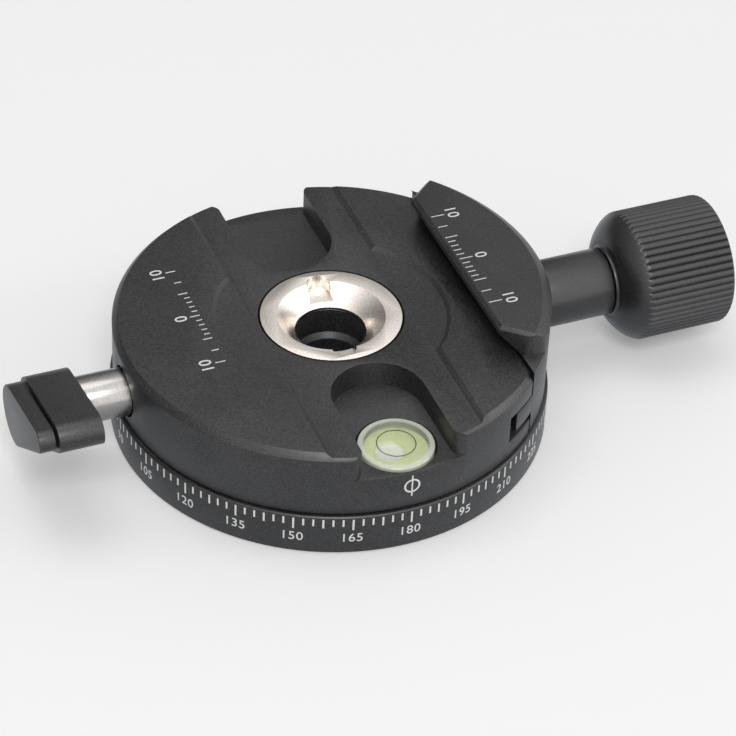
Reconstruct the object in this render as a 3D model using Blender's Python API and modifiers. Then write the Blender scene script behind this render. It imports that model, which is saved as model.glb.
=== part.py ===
"""Panning clamp: two dovetail jaws on a body that pans on a scale ring.

Metres, +Z up. The origin is where the pan axis meets the underside of the base ring.
+X runs from the fixed jaw to the clamping knob, and +Y runs along the plate channel,
so the bubble level and the pan index face -Y.
"""

import math

import bmesh
import bpy
from mathutils import Matrix, Vector

# Clearances and cuts
SEAT_GAP = 0.0003
OVERRUN = 0.002
MERGE = 0.00001

# Round pieces: how many sides a full turn has
LARGE_STEPS = 80
MEDIUM_STEPS = 40
SMALL_STEPS = 24
SHARP_ANGLE = math.radians(30)

# Base ring
BASE_R = 0.0300
BASE_H = 0.0063
BASE_BEVEL = 0.0004
WASHER_GROOVE_WALL = 0.0040
WASHER_GROOVE_W = 0.0060
WASHER_GROOVE_DEPTH = 0.0008
HUB_R = 0.0067
HUB_H = 0.0063
HUB_BORE_R = 0.00495
HUB_BORE_DEPTH = 0.0035
THREAD_R = 0.0042

# Clamp body
BODY_INSET = 0.0005
BODY_H = 0.0098
BODY_FOOT_BEVEL = 0.0002
FLANGE_T = 0.0015
RIM_CHAMFER_W = 0.0008
RIM_CHAMFER_H = 0.0009
CHANNEL_DEPTH = 0.0005
CHANNEL_HALF_W = 0.01035
CHANNEL_FLARE = 0.0007
LAND_R = 0.0156
POCKET_R = 0.00635
POCKET_INSET = 0.0121
POCKET_DEPTH = 0.0042
POCKET_ARC_POINTS = 17

# Both jaws above the seat
JAW_H = 0.0044
CORNER_ANGLE = math.radians(41)

# Fixed jaw, which is one piece with the body
FIXED_JAW_W = 0.01115
FIXED_UNDERCUT = 0.00315
FIXED_LIP_BEVEL = 0.0002
FIXED_FLAT_HALF = 0.0143

# Moving jaw
JAW_SEGMENT = 0.0093
LIP_OVERHANG = 0.00275
LIP_H = 0.0007
MOVING_LIP_BEVEL = 0.0005
MOVING_FLAT_HALF = 0.0152
MOVING_CHAMFER_W = 0.0013
MOVING_CHAMFER_H = 0.0010
LEDGE_RISE = 0.0006
GROOVE_DEPTH = 0.0045
GROOVE_RISE = 0.0025
GROOVE_H = 0.0042
TONGUE_REACH = 0.0035
TONGUE_H = 0.0029
CLIP_SEAT_DEPTH = 0.0019
SPOT_FACE_DEPTH = 0.0012

# Ring nut on the hub, and the two washers of the pan bearing
RING_R = 0.0096
RING_BEVEL = 0.0002
RING_CONE_R = 0.00735
RING_EYE_R = 0.00485
NOTCH_HALF_W = 0.00165
NOTCH_CENTRE_R = 0.0071
NOTCH_DEPTH = 0.0020
NOTCH_ANGLE = math.radians(83)
NOTCH_ARC_POINTS = 9
SPINDLE_WASHER_T = 0.0003

# Clamping screw, its bush, clip, washer, sleeve and end screw
SCREW_RISE = 0.0048
SCREW_R = 0.0025
SCREW_GROOVE_R = 0.0019
SCREW_BUSH_T = 0.0008
SCREW_BUSH_WALL = 0.0010
CLIP_RIM = 0.0012
CLIP_T = 0.0008
CLIP_SLOT = 0.0030
KNOB_WASHER_R = 0.0039
KNOB_WASHER_T = 0.0009
SLEEVE_R = 0.00475
SLEEVE_L = 0.0107
END_SCREW_R = 0.0015
END_SCREW_L = 0.0070
END_SCREW_HEAD_R = 0.0029
END_SCREW_HEAD_H = 0.0025
HEX_SOCKET_R = 0.00145
HEX_SOCKET_DEPTH = 0.0009
HEX_SIDES = 6

# Clamping knob
KNOB_R = 0.00915
KNOB_L = 0.0162
KNOB_NECK_R = 0.0054
KNOB_SHOULDER_L = 0.0038
KNOB_SHOULDER_POINTS = 6
KNOB_EDGE = 0.0004
KNOB_FLUTES = 54
KNOB_FLUTE_DEPTH = 0.0003
KNOB_WEB_T = 0.0027
KNOB_RECESS_DEPTH = 0.0040

# Guide pins and opening springs, one of each at the front and at the rear
PIN_OFFSET = 0.0130
PIN_R = 0.0011
PIN_BORE_DEPTH = 0.0040
PIN_SEAT_DEPTH = 0.0045
SPRING_MEAN_R = 0.00175
SPRING_WIRE_R = 0.0002
SPRING_POCKET_DEPTH = 0.0051
SPRING_TURNS = 5
SPRING_TURN_POINTS = 8
SPRING_BEVEL_RESOLUTION = 1

# Bubble level
LEVEL_INSET = 0.0058
LEVEL_R = 0.0051
LEVEL_H = 0.0042
LEVEL_BEVEL = 0.0003
LEVEL_FLOOR_T = 0.0014
LEVEL_WALL = 0.0007
LEVEL_TOP_T = 0.0008
LEVEL_PLUG_T = 0.0006
BUBBLE_R = 0.0021
BUBBLE_DEPTH = 0.0006
BUBBLE_OFFSET = 0.0009
BUBBLE_RINGS = 12

# Pan lock
LOCK_RISE = 0.00405
LOCK_HOLE_DEPTH = 0.0124
LOCK_SHAFT_R = 0.0033
LOCK_SHAFT_OUT = 0.0065
LOCK_THREAD_R = 0.0021
LOCK_BUSH_L = 0.0060
LOCK_SHOULDER_GAP = 0.0004
LOCK_SPIGOT_R = 0.0021
PAD_L = 0.0062
LEVER_T = 0.0060
LEVER_BIG_R = 0.0047
LEVER_NOSE_R = 0.0021
LEVER_REACH = 0.0128
LEVER_RISE_ANGLE = math.radians(23.6)
LEVER_ARC_POINTS = 22
LEVER_RECESS_DEPTH = 0.0020
LEVER_SCREW_R = 0.0011
LEVER_SCREW_L = 0.0030
LEVER_SCREW_HEAD_R = 0.0031
LEVER_SCREW_HEAD_H = 0.0014
CAP_T = 0.00225
CAP_INSET = 0.0005
PEG_R = 0.0008
PEG_L = 0.0015
PEG_NEAR = 0.0064
PEG_FAR = 0.0112

# Heights worked out from the sizes above
BODY_Z = BASE_H + SEAT_GAP
SEAT_Z = BODY_Z + BODY_H
CHANNEL_Z = SEAT_Z - CHANNEL_DEPTH
JAW_TOP_Z = SEAT_Z + JAW_H
JAW_FOOT_Z = BODY_Z + SEAT_GAP
FLANGE_Z = BODY_Z + FLANGE_T
POCKET_Z = SEAT_Z - POCKET_DEPTH
LEDGE_Z = SEAT_Z + LEDGE_RISE
WASHER_GROOVE_Z = BASE_H - WASHER_GROOVE_DEPTH
HUB_TOP_Z = BASE_H + HUB_H
HUB_BORE_Z = HUB_TOP_Z - HUB_BORE_DEPTH
SPINDLE_WASHER_Z = FLANGE_Z + SEAT_GAP
RING_Z = SPINDLE_WASHER_Z + SPINDLE_WASHER_T + SEAT_GAP
RING_EYE_Z = HUB_TOP_Z + SEAT_GAP
SCREW_Z = BODY_Z + SCREW_RISE
LOCK_Z = BODY_Z + LOCK_RISE
GROOVE_Z = BODY_Z + GROOVE_RISE
GROOVE_TOP_Z = GROOVE_Z + GROOVE_H
TONGUE_TOP_Z = GROOVE_TOP_Z - SEAT_GAP
TONGUE_Z = TONGUE_TOP_Z - TONGUE_H
LEVEL_FLOOR_Z = BODY_Z + LEVEL_FLOOR_T
LEVEL_Z = LEVEL_FLOOR_Z + SEAT_GAP
LEVEL_TOP_Z = LEVEL_Z + LEVEL_H
LEVEL_ROOF_Z = LEVEL_TOP_Z - LEVEL_TOP_T

# Radii worked out from the pieces that fit there
WASHER_GROOVE_OUT_R = BASE_R - WASHER_GROOVE_WALL
WASHER_GROOVE_IN_R = WASHER_GROOVE_OUT_R - WASHER_GROOVE_W
BODY_R = BASE_R - BODY_INSET
COUNTERBORE_R = RING_R + SEAT_GAP
HUB_CLEAR_R = HUB_R + SEAT_GAP
SCREW_CLEAR_R = SCREW_R + SEAT_GAP
BUSH_R = SCREW_CLEAR_R + SCREW_BUSH_T
CLIP_IN_R = SCREW_GROOVE_R + SEAT_GAP
CLIP_R = SCREW_R + CLIP_RIM
PIN_CLEAR_R = PIN_R + SEAT_GAP
SPRING_POCKET_R = SPRING_MEAN_R + SPRING_WIRE_R + SEAT_GAP
END_SCREW_CLEAR_R = END_SCREW_R + SEAT_GAP
LOCK_CLEAR_R = LOCK_SHAFT_R + SEAT_GAP
LOCK_THREAD_CLEAR_R = LOCK_THREAD_R + SEAT_GAP
LEVER_SCREW_CLEAR_R = LEVER_SCREW_R + SEAT_GAP

# Places along +X, on the knob's side
SPLIT_X = BODY_R - JAW_SEGMENT
JAW_X = SPLIT_X + SEAT_GAP
GROOVE_X = SPLIT_X - GROOVE_DEPTH
TONGUE_X = JAW_X - TONGUE_REACH
MOVING_LIP_X = JAW_X - LIP_OVERHANG
BUSH_END_X = SPLIT_X - SEAT_GAP
BUSH_X = COUNTERBORE_R + SCREW_BUSH_WALL
BUSH_HOLE_X = BUSH_X - SEAT_GAP
CLIP_SEAT_X = JAW_X + CLIP_SEAT_DEPTH
CLIP_END_X = CLIP_SEAT_X - SEAT_GAP
CLIP_X = CLIP_END_X - CLIP_T
SPOT_FACE_X = BODY_R - SPOT_FACE_DEPTH
KNOB_WASHER_X = SPOT_FACE_X + SEAT_GAP
KNOB_WASHER_END_X = KNOB_WASHER_X + KNOB_WASHER_T
SLEEVE_X = KNOB_WASHER_END_X + SEAT_GAP
SLEEVE_END_X = SLEEVE_X + SLEEVE_L
KNOB_X = SLEEVE_END_X + SEAT_GAP
KNOB_END_X = KNOB_X + KNOB_L
WEB_END_X = KNOB_END_X - KNOB_RECESS_DEPTH
WEB_X = WEB_END_X - KNOB_WEB_T
SCREW_END_X = WEB_X - SEAT_GAP
END_SCREW_X = WEB_END_X + SEAT_GAP
END_SCREW_TIP_X = END_SCREW_X - END_SCREW_L
SPRING_POCKET_X = GROOVE_X - SPRING_POCKET_DEPTH
PIN_BORE_X = SPRING_POCKET_X - PIN_BORE_DEPTH
PIN_SEAT_X = JAW_X + PIN_SEAT_DEPTH

# Places along -X, on the lock's side, as distances from the pan axis
FIXED_LIP = BODY_R - FIXED_JAW_W
PAD_FACE = RING_R + SEAT_GAP
PAD_BACK = PAD_FACE + PAD_L
LOCK_THREAD_END = PAD_BACK + SEAT_GAP
LOCK_HOLE_END = BODY_R - LOCK_HOLE_DEPTH
LOCK_BUSH_IN = LOCK_HOLE_END + SEAT_GAP
LOCK_BUSH_OUT = LOCK_BUSH_IN + LOCK_BUSH_L
LOCK_SHOULDER = LOCK_BUSH_OUT + LOCK_SHOULDER_GAP
LOCK_SHAFT_END = BODY_R + LOCK_SHAFT_OUT
LEVER_BACK = LOCK_SHAFT_END + SEAT_GAP
LEVER_FACE = LEVER_BACK + LEVER_T
LEVER_RECESS = LEVER_FACE - LEVER_RECESS_DEPTH
LOCK_SPIGOT_END = LEVER_RECESS - SEAT_GAP
LEVER_SCREW_HEAD = LEVER_RECESS + SEAT_GAP
LEVER_SCREW_TIP = LEVER_SCREW_HEAD - LEVER_SCREW_L
CAP_BACK = LEVER_FACE + SEAT_GAP
CAP_FACE = CAP_BACK + CAP_T

# How each axis of a turned piece lies
UPRIGHT = (0, 0, 0)
TOWARDS_KNOB = (0, math.pi / 2, 0)
TOWARDS_LEVER = (0, -math.pi / 2, 0)

# How each flat outline lies: its own x and y run along the two named axes
PLAN = (0, 0, 0)
SIDE_XZ = (math.pi / 2, 0, 0)
END_YZ = (math.pi / 2, 0, math.pi / 2)


def clear_scene():
    for thing in list(bpy.data.objects):
        bpy.data.objects.remove(thing)


def new_collection(name):
    collection = bpy.data.collections.new(name)
    bpy.context.scene.collection.children.link(collection)
    return collection


def surface(name, colour, roughness, metallic):
    """A plain material in the colour of the real piece."""
    material = bpy.data.materials.new(name)
    material.use_nodes = True
    shader = material.node_tree.nodes["Principled BSDF"]
    shader.inputs["Base Color"].default_value = (*colour, 1)
    shader.inputs["Roughness"].default_value = roughness
    shader.inputs["Metallic"].default_value = metallic
    material.diffuse_color = (*colour, 1)
    return material


def add_object(name, mesh, location, rotation):
    """Every object starts among the cutters; finish() moves the real pieces out."""
    thing = bpy.data.objects.new(name, mesh)
    thing.location = location
    thing.rotation_euler = rotation
    thing.hide_render = True
    thing.display_type = "WIRE"
    cutters.objects.link(thing)
    return thing


def turned(name, profile, steps, axis=UPRIGHT, centre=(0, 0, 0)):
    """A profile of (radius, height) pairs turned through a full circle.

    It runs down the outer side and back up the inner one. It is closed to a ring
    unless it starts and ends on the axis.
    """
    mesh = bpy.data.meshes.new(name)
    points = [(radius, 0, height) for radius, height in profile]
    edges = [(index, index + 1) for index in range(len(points) - 1)]
    if profile[0][0] > 0:
        edges.append((len(points) - 1, 0))
    mesh.from_pydata(points, edges, [])
    thing = add_object(name, mesh, centre, axis)
    screw = thing.modifiers.new("Turn", "SCREW")
    screw.steps = steps
    screw.render_steps = steps
    screw.use_merge_vertices = True
    screw.merge_threshold = MERGE
    return thing


def cylinder(name, radius, low, high, steps, axis=UPRIGHT, centre=(0, 0, 0), top_radius=None):
    """A cylinder, or a cone when it has a top radius, from low to high along its axis."""
    mesh = bpy.data.meshes.new(name)
    bm = bmesh.new()
    bmesh.ops.create_cone(
        bm,
        cap_ends=True,
        segments=steps,
        radius1=radius,
        radius2=radius if top_radius is None else top_radius,
        depth=high - low,
        matrix=Matrix.Translation((0, 0, (low + high) / 2)),
    )
    bm.to_mesh(mesh)
    bm.free()
    return add_object(name, mesh, centre, axis)


def box(name, low, high):
    """A box between two opposite corners."""
    low, high = Vector(low), Vector(high)
    mesh = bpy.data.meshes.new(name)
    bm = bmesh.new()
    bmesh.ops.create_cube(bm, size=1, matrix=Matrix.Diagonal((*(high - low), 1)))
    bm.to_mesh(mesh)
    bm.free()
    return add_object(name, mesh, (low + high) / 2, (0, 0, 0))


def to_mesh(thing):
    """Turns a curve into a mesh with welded caps that keeps the curve's place."""
    graph = bpy.context.evaluated_depsgraph_get()
    mesh = bpy.data.meshes.new_from_object(thing.evaluated_get(graph))
    bm = bmesh.new()
    bm.from_mesh(mesh)
    bmesh.ops.remove_doubles(bm, verts=bm.verts, dist=MERGE)
    bmesh.ops.recalc_face_normals(bm, faces=bm.faces)
    bm.to_mesh(mesh)
    bm.free()
    name = thing.name
    place = thing.matrix_world.copy()
    bpy.data.objects.remove(thing)
    solid = add_object(name, mesh, (0, 0, 0), (0, 0, 0))
    solid.matrix_world = place
    return solid


def slab(name, outline, thickness, lie, centre):
    """A flat outline with its thickness shared between both sides of the centre."""
    curve = bpy.data.curves.new(name, "CURVE")
    curve.dimensions = "2D"
    curve.fill_mode = "BOTH"
    curve.extrude = thickness / 2
    spline = curve.splines.new("POLY")
    spline.points.add(len(outline) - 1)
    for point, (across, up) in zip(spline.points, outline):
        point.co = (across, up, 0, 1)
    spline.use_cyclic_u = True
    thing = add_object(name, curve, centre, lie)
    bpy.context.view_layer.update()
    return to_mesh(thing)


def arc(centre, radius, start, end, count):
    """Points on an arc from one angle to another."""
    points = []
    for index in range(count):
        angle = start + (end - start) * index / (count - 1)
        across = centre[0] + radius * math.cos(angle)
        up = centre[1] + radius * math.sin(angle)
        points.append((across, up))
    return points


def change(thing, operation, others):
    """Adds one exact Boolean for each of the other objects."""
    for other in others:
        modifier = thing.modifiers.new(other.name, "BOOLEAN")
        modifier.operation = operation
        modifier.solver = "EXACT"
        modifier.object = other


def bake(thing):
    """Keeps the shape that the modifiers make and drops the modifiers."""
    bpy.context.view_layer.update()
    graph = bpy.context.evaluated_depsgraph_get()
    mesh = bpy.data.meshes.new_from_object(thing.evaluated_get(graph))
    thing.modifiers.clear()
    thing.data = mesh


def finish(thing, material, body):
    """Bakes a piece, puts its origin on its body's axis and hangs it there."""
    bake(thing)
    pivot = body.matrix_world.translation
    thing.data.transform(Matrix.Translation(-pivot) @ thing.matrix_world)
    thing.parent = body
    thing.matrix_parent_inverse = Matrix.Identity(4)
    thing.location = (0, 0, 0)
    thing.rotation_euler = (0, 0, 0)
    thing.data.materials.clear()
    thing.data.materials.append(material)
    thing.data.shade_smooth()
    thing.data.set_sharp_from_angle(angle=SHARP_ANGLE)
    cutters.objects.unlink(thing)
    pieces.objects.link(thing)
    thing.hide_render = False
    thing.display_type = "TEXTURED"
    return thing


def carrier(name, location, parent=None):
    """An empty on a joint's axis that the pieces of one moving body hang on."""
    empty = bpy.data.objects.new(name, None)
    pieces.objects.link(empty)
    if parent:
        empty.parent = parent
        location = Vector(location) - parent.matrix_world.translation
    empty.location = location
    bpy.context.view_layer.update()
    return empty


def base_ring():
    """The scale ring with the hub in its middle and the tripod thread through it."""
    thread_top = HUB_BORE_Z - (HUB_BORE_R - THREAD_R)
    profile = [
        (BASE_R - BASE_BEVEL, BASE_H),
        (BASE_R, BASE_H - BASE_BEVEL),
        (BASE_R, BASE_BEVEL),
        (BASE_R - BASE_BEVEL, 0),
        (THREAD_R, 0),
        (THREAD_R, thread_top),
        (HUB_BORE_R, HUB_BORE_Z),
        (HUB_BORE_R, HUB_TOP_Z),
        (HUB_R, HUB_TOP_Z),
        (HUB_R, BASE_H),
        (WASHER_GROOVE_IN_R, BASE_H),
        (WASHER_GROOVE_IN_R, WASHER_GROOVE_Z),
        (WASHER_GROOVE_OUT_R, WASHER_GROOVE_Z),
        (WASHER_GROOVE_OUT_R, BASE_H),
    ]
    return turned("base_ring", profile, LARGE_STEPS)


def flat_ring(name, inner, outer, low, high, steps, axis=UPRIGHT, centre=(0, 0, 0)):
    """A plain ring, washer or bush."""
    profile = [(outer, high), (outer, low), (inner, low), (inner, high)]
    return turned(name, profile, steps, axis, centre)


def friction_washer():
    inner = WASHER_GROOVE_IN_R + SEAT_GAP
    outer = WASHER_GROOVE_OUT_R - SEAT_GAP
    low = WASHER_GROOVE_Z + SEAT_GAP
    high = BODY_Z - SEAT_GAP
    return flat_ring("friction_washer", inner, outer, low, high, MEDIUM_STEPS)


def spindle_washer():
    high = SPINDLE_WASHER_Z + SPINDLE_WASHER_T
    return flat_ring("spindle_washer", HUB_CLEAR_R, RING_R, SPINDLE_WASHER_Z, high, MEDIUM_STEPS)


def retaining_ring():
    """The ring nut: a hollow that fits over the hub, a cone on top and two notches."""
    cone_z = CHANNEL_Z - (RING_CONE_R - RING_EYE_R)
    profile = [
        (RING_R - RING_BEVEL, CHANNEL_Z),
        (RING_R, CHANNEL_Z - RING_BEVEL),
        (RING_R, RING_Z),
        (HUB_CLEAR_R, RING_Z),
        (HUB_CLEAR_R, RING_EYE_Z),
        (RING_EYE_R, RING_EYE_Z),
        (RING_EYE_R, cone_z),
        (RING_CONE_R, CHANNEL_Z),
    ]
    ring = turned("retaining_ring", profile, MEDIUM_STEPS)
    height = NOTCH_DEPTH + OVERRUN
    for side in (0, math.pi):
        outline = arc((NOTCH_CENTRE_R, 0), NOTCH_HALF_W, -math.pi / 2, math.pi / 2, NOTCH_ARC_POINTS)
        outline += [(0, NOTCH_HALF_W), (0, -NOTCH_HALF_W)]
        middle = CHANNEL_Z - NOTCH_DEPTH + height / 2
        turn = (0, 0, NOTCH_ANGLE + side)
        notch = slab("ring_notch", outline, height, turn, (0, 0, middle))
        change(ring, "DIFFERENCE", [notch])
    return ring


def corner_cut(name, lip_x, side, flat_half, bevel, low):
    """Cuts a jaw's corner off at a slant, and bevels the new top edge.

    The cut's own x points away from the jaw's middle and its thickness runs along the cut.
    """
    away_x = -math.copysign(math.sin(CORNER_ANGLE), lip_x)
    turn = math.atan2(side * math.cos(CORNER_ANGLE), away_x)
    top = JAW_TOP_Z + OVERRUN * 2
    outline = [
        (0, low),
        (0, JAW_TOP_Z - bevel),
        (-bevel - OVERRUN * 2, top),
        (BODY_R, top),
        (BODY_R, low),
    ]
    cut = slab(name, outline, BODY_R * 2, SIDE_XZ, (0, 0, 0))
    corner = Matrix.Translation((lip_x, side * flat_half, 0))
    cut.matrix_world = corner @ Matrix.Rotation(turn, 4, "Z") @ cut.matrix_world
    bpy.context.view_layer.update()
    return cut


def fixed_jaw_shape():
    """The room that the fixed jaw fills: lip, dovetail flank and two slanted corners."""
    lip_x = -FIXED_LIP
    root_x = lip_x - FIXED_UNDERCUT
    top = JAW_TOP_Z + OVERRUN * 2
    outline = [
        (-BODY_R * 2, BODY_Z),
        (root_x, BODY_Z),
        (root_x, SEAT_Z),
        (lip_x, SEAT_Z + FIXED_UNDERCUT),
        (lip_x, JAW_TOP_Z - FIXED_LIP_BEVEL),
        (lip_x - FIXED_LIP_BEVEL - OVERRUN * 2, top),
        (-BODY_R * 2, top),
    ]
    jaw = slab("fixed_jaw_shape", outline, (BODY_R + OVERRUN * 2) * 2, SIDE_XZ, (0, 0, 0))
    low = BODY_Z - OVERRUN
    for side in (-1, 1):
        cut = corner_cut("fixed_corner", lip_x, side, FIXED_FLAT_HALF, FIXED_LIP_BEVEL, low)
        change(jaw, "DIFFERENCE", [cut])
    return jaw


def seat_clearance():
    """Everything above the plate seat and its rim chamfer, but for the fixed jaw."""
    top = JAW_TOP_Z + OVERRUN
    skirt = RIM_CHAMFER_H * (RIM_CHAMFER_W + OVERRUN) / RIM_CHAMFER_W
    profile = [
        (BODY_R + OVERRUN, top),
        (BODY_R + OVERRUN, SEAT_Z - skirt),
        (BODY_R - RIM_CHAMFER_W, SEAT_Z),
        (HUB_R, SEAT_Z),
        (HUB_R, top),
    ]
    clearance = turned("seat_clearance", profile, LARGE_STEPS)
    change(clearance, "DIFFERENCE", [fixed_jaw_shape()])
    return clearance


def channel_cuts():
    """The shallow strip along Y and the round land about the ring nut."""
    top = SEAT_Z + OVERRUN
    flare = CHANNEL_FLARE * (CHANNEL_DEPTH + OVERRUN) / CHANNEL_DEPTH
    outline = [
        (-CHANNEL_HALF_W, CHANNEL_Z),
        (CHANNEL_HALF_W, CHANNEL_Z),
        (CHANNEL_HALF_W + flare, top),
        (-CHANNEL_HALF_W - flare, top),
    ]
    strip = slab("channel_strip", outline, (BODY_R + OVERRUN) * 2, SIDE_XZ, (0, 0, 0))
    land_top_r = LAND_R + top - CHANNEL_Z
    land = cylinder("channel_land", LAND_R, CHANNEL_Z, top, LARGE_STEPS, top_radius=land_top_r)
    return [strip, land]


def pocket_cut(side):
    """A round-ended pocket that is open to the rim."""
    inner_end = math.pi if side > 0 else 0
    centre = (0, side * (BODY_R - POCKET_INSET))
    rim = side * (BODY_R + OVERRUN)
    outline = arc(centre, POCKET_R, inner_end, inner_end + math.pi, POCKET_ARC_POINTS)
    outline += [(side * POCKET_R, rim), (-side * POCKET_R, rim)]
    height = SEAT_Z + OVERRUN - POCKET_Z
    return slab("pocket_cut", outline, height, PLAN, (0, 0, POCKET_Z + height / 2))


def knob_side_cuts():
    """The flat that the moving jaw closes on, its tongue groove and the drilled holes."""
    far = BODY_R + OVERRUN
    drill_end = SPLIT_X + OVERRUN
    screw_centre = (0, 0, SCREW_Z)
    split = box("split_cut", (SPLIT_X, -far, BODY_Z - OVERRUN), (far, far, JAW_TOP_Z + OVERRUN))
    groove = box("groove_cut", (GROOVE_X, -far, GROOVE_Z), (drill_end, far, GROOVE_TOP_Z))
    hole_r = BUSH_R + SEAT_GAP
    bush = cylinder(
        "bush_hole", hole_r, BUSH_HOLE_X, drill_end, MEDIUM_STEPS, TOWARDS_KNOB, screw_centre
    )
    cuts = [split, groove, bush]
    for side in (-1, 1):
        centre = (0, side * PIN_OFFSET, SCREW_Z)
        pocket = cylinder(
            "spring_pocket", SPRING_POCKET_R, SPRING_POCKET_X, drill_end, SMALL_STEPS, TOWARDS_KNOB, centre
        )
        bore_end = SPRING_POCKET_X + OVERRUN
        bore = cylinder("pin_bore", PIN_CLEAR_R, PIN_BORE_X, bore_end, SMALL_STEPS, TOWARDS_KNOB, centre)
        cuts += [pocket, bore]
    return cuts


def lock_cuts():
    """The stepped hole of the pan lock, from the wall through to the ring nut."""
    centre = (0, 0, LOCK_Z)
    wall = BODY_R + OVERRUN
    step = LOCK_HOLE_END + OVERRUN
    inside = COUNTERBORE_R - OVERRUN
    shaft = cylinder("lock_hole", LOCK_CLEAR_R, LOCK_HOLE_END, wall, MEDIUM_STEPS, TOWARDS_LEVER, centre)
    pad = cylinder("pad_hole", LOCK_THREAD_CLEAR_R, inside, step, SMALL_STEPS, TOWARDS_LEVER, centre)
    return [shaft, pad]


def clamp_body():
    """The body with the fixed jaw, cut from one turned blank."""
    profile = [
        (BODY_R - RIM_CHAMFER_W, JAW_TOP_Z),
        (BODY_R, JAW_TOP_Z - RIM_CHAMFER_H),
        (BODY_R, BODY_Z + BODY_FOOT_BEVEL),
        (BODY_R - BODY_FOOT_BEVEL, BODY_Z),
        (HUB_CLEAR_R, BODY_Z),
        (HUB_CLEAR_R, FLANGE_Z),
        (COUNTERBORE_R, FLANGE_Z),
        (COUNTERBORE_R, JAW_TOP_Z),
    ]
    body = turned("clamp_body", profile, LARGE_STEPS)
    level_r = LEVEL_R + SEAT_GAP
    level_top = POCKET_Z + OVERRUN
    level_hole = cylinder(
        "level_hole", level_r, LEVEL_FLOOR_Z, level_top, MEDIUM_STEPS, UPRIGHT, level_centre()
    )
    change(body, "DIFFERENCE", channel_cuts())
    change(body, "DIFFERENCE", [seat_clearance()])
    change(body, "DIFFERENCE", [pocket_cut(-1), pocket_cut(1), level_hole])
    change(body, "DIFFERENCE", knob_side_cuts())
    change(body, "DIFFERENCE", lock_cuts())
    return body


def moving_jaw():
    """A segment of a turned disc with a lip, a dovetail flank and a tongue."""
    profile = [
        (0, JAW_TOP_Z),
        (BODY_R - MOVING_CHAMFER_W, JAW_TOP_Z),
        (BODY_R, JAW_TOP_Z - MOVING_CHAMFER_H),
        (BODY_R, JAW_FOOT_Z),
        (0, JAW_FOOT_Z),
    ]
    jaw = turned("moving_jaw", profile, LARGE_STEPS)
    far = BODY_R + OVERRUN
    top = JAW_TOP_Z + OVERRUN
    foot = JAW_FOOT_Z - OVERRUN
    lip_z = JAW_TOP_Z - MOVING_LIP_BEVEL - LIP_H
    outline = [
        (-far, foot),
        (JAW_X, foot),
        (JAW_X, TONGUE_Z),
        (TONGUE_X, TONGUE_Z),
        (TONGUE_X, TONGUE_TOP_Z),
        (JAW_X, TONGUE_TOP_Z),
        (JAW_X, lip_z - LIP_OVERHANG),
        (MOVING_LIP_X, lip_z),
        (MOVING_LIP_X, JAW_TOP_Z - MOVING_LIP_BEVEL),
        (MOVING_LIP_X + MOVING_LIP_BEVEL + OVERRUN, top),
        (-far, top),
    ]
    change(jaw, "DIFFERENCE", [slab("jaw_flank_cut", outline, far * 2, SIDE_XZ, (0, 0, 0))])
    for side in (-1, 1):
        cut = corner_cut("moving_corner", MOVING_LIP_X, side, MOVING_FLAT_HALF, MOVING_LIP_BEVEL, LEDGE_Z)
        centre = (0, side * PIN_OFFSET, SCREW_Z)
        start = TONGUE_X - OVERRUN
        seat = cylinder("pin_seat", PIN_CLEAR_R, start, PIN_SEAT_X, SMALL_STEPS, TOWARDS_KNOB, centre)
        change(jaw, "DIFFERENCE", [cut, seat])
    bores = [
        ("screw_bore", SCREW_CLEAR_R, CLIP_SEAT_X - OVERRUN, SPOT_FACE_X + OVERRUN),
        ("clip_seat", CLIP_R + SEAT_GAP, TONGUE_X - OVERRUN, CLIP_SEAT_X),
        ("spot_face", KNOB_WASHER_R + SEAT_GAP, SPOT_FACE_X, far),
    ]
    for name, radius, low, high in bores:
        bore = cylinder(name, radius, low, high, MEDIUM_STEPS, TOWARDS_KNOB, (0, 0, SCREW_Z))
        change(jaw, "DIFFERENCE", [bore])
    return jaw


def guide_pin(name, side):
    low = PIN_BORE_X + SEAT_GAP
    high = PIN_SEAT_X - SEAT_GAP
    centre = (0, side * PIN_OFFSET, SCREW_Z)
    return cylinder(name, PIN_R, low, high, SMALL_STEPS, TOWARDS_KNOB, centre)


def jaw_spring(name, side):
    """A wire wound round a guide pin from the pocket's end to the jaw's tongue."""
    low = SPRING_POCKET_X + SEAT_GAP + SPRING_WIRE_R
    high = TONGUE_X - SEAT_GAP - SPRING_WIRE_R
    count = SPRING_TURNS * SPRING_TURN_POINTS
    curve = bpy.data.curves.new(name, "CURVE")
    curve.dimensions = "3D"
    curve.bevel_depth = SPRING_WIRE_R
    curve.bevel_resolution = SPRING_BEVEL_RESOLUTION
    curve.use_fill_caps = True
    spline = curve.splines.new("POLY")
    spline.points.add(count)
    for index, point in enumerate(spline.points):
        angle = math.tau * index / SPRING_TURN_POINTS
        along = low + (high - low) * index / count
        across = SPRING_MEAN_R * math.cos(angle)
        up = SPRING_MEAN_R * math.sin(angle)
        point.co = (along, side * PIN_OFFSET + across, SCREW_Z + up, 1)
    wire = add_object(name, curve, (0, 0, 0), UPRIGHT)
    bpy.context.view_layer.update()
    return to_mesh(wire)


def screw_bush():
    centre = (0, 0, SCREW_Z)
    return flat_ring(
        "screw_bush", SCREW_CLEAR_R, BUSH_R, BUSH_X, BUSH_END_X, SMALL_STEPS, TOWARDS_KNOB, centre
    )


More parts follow.
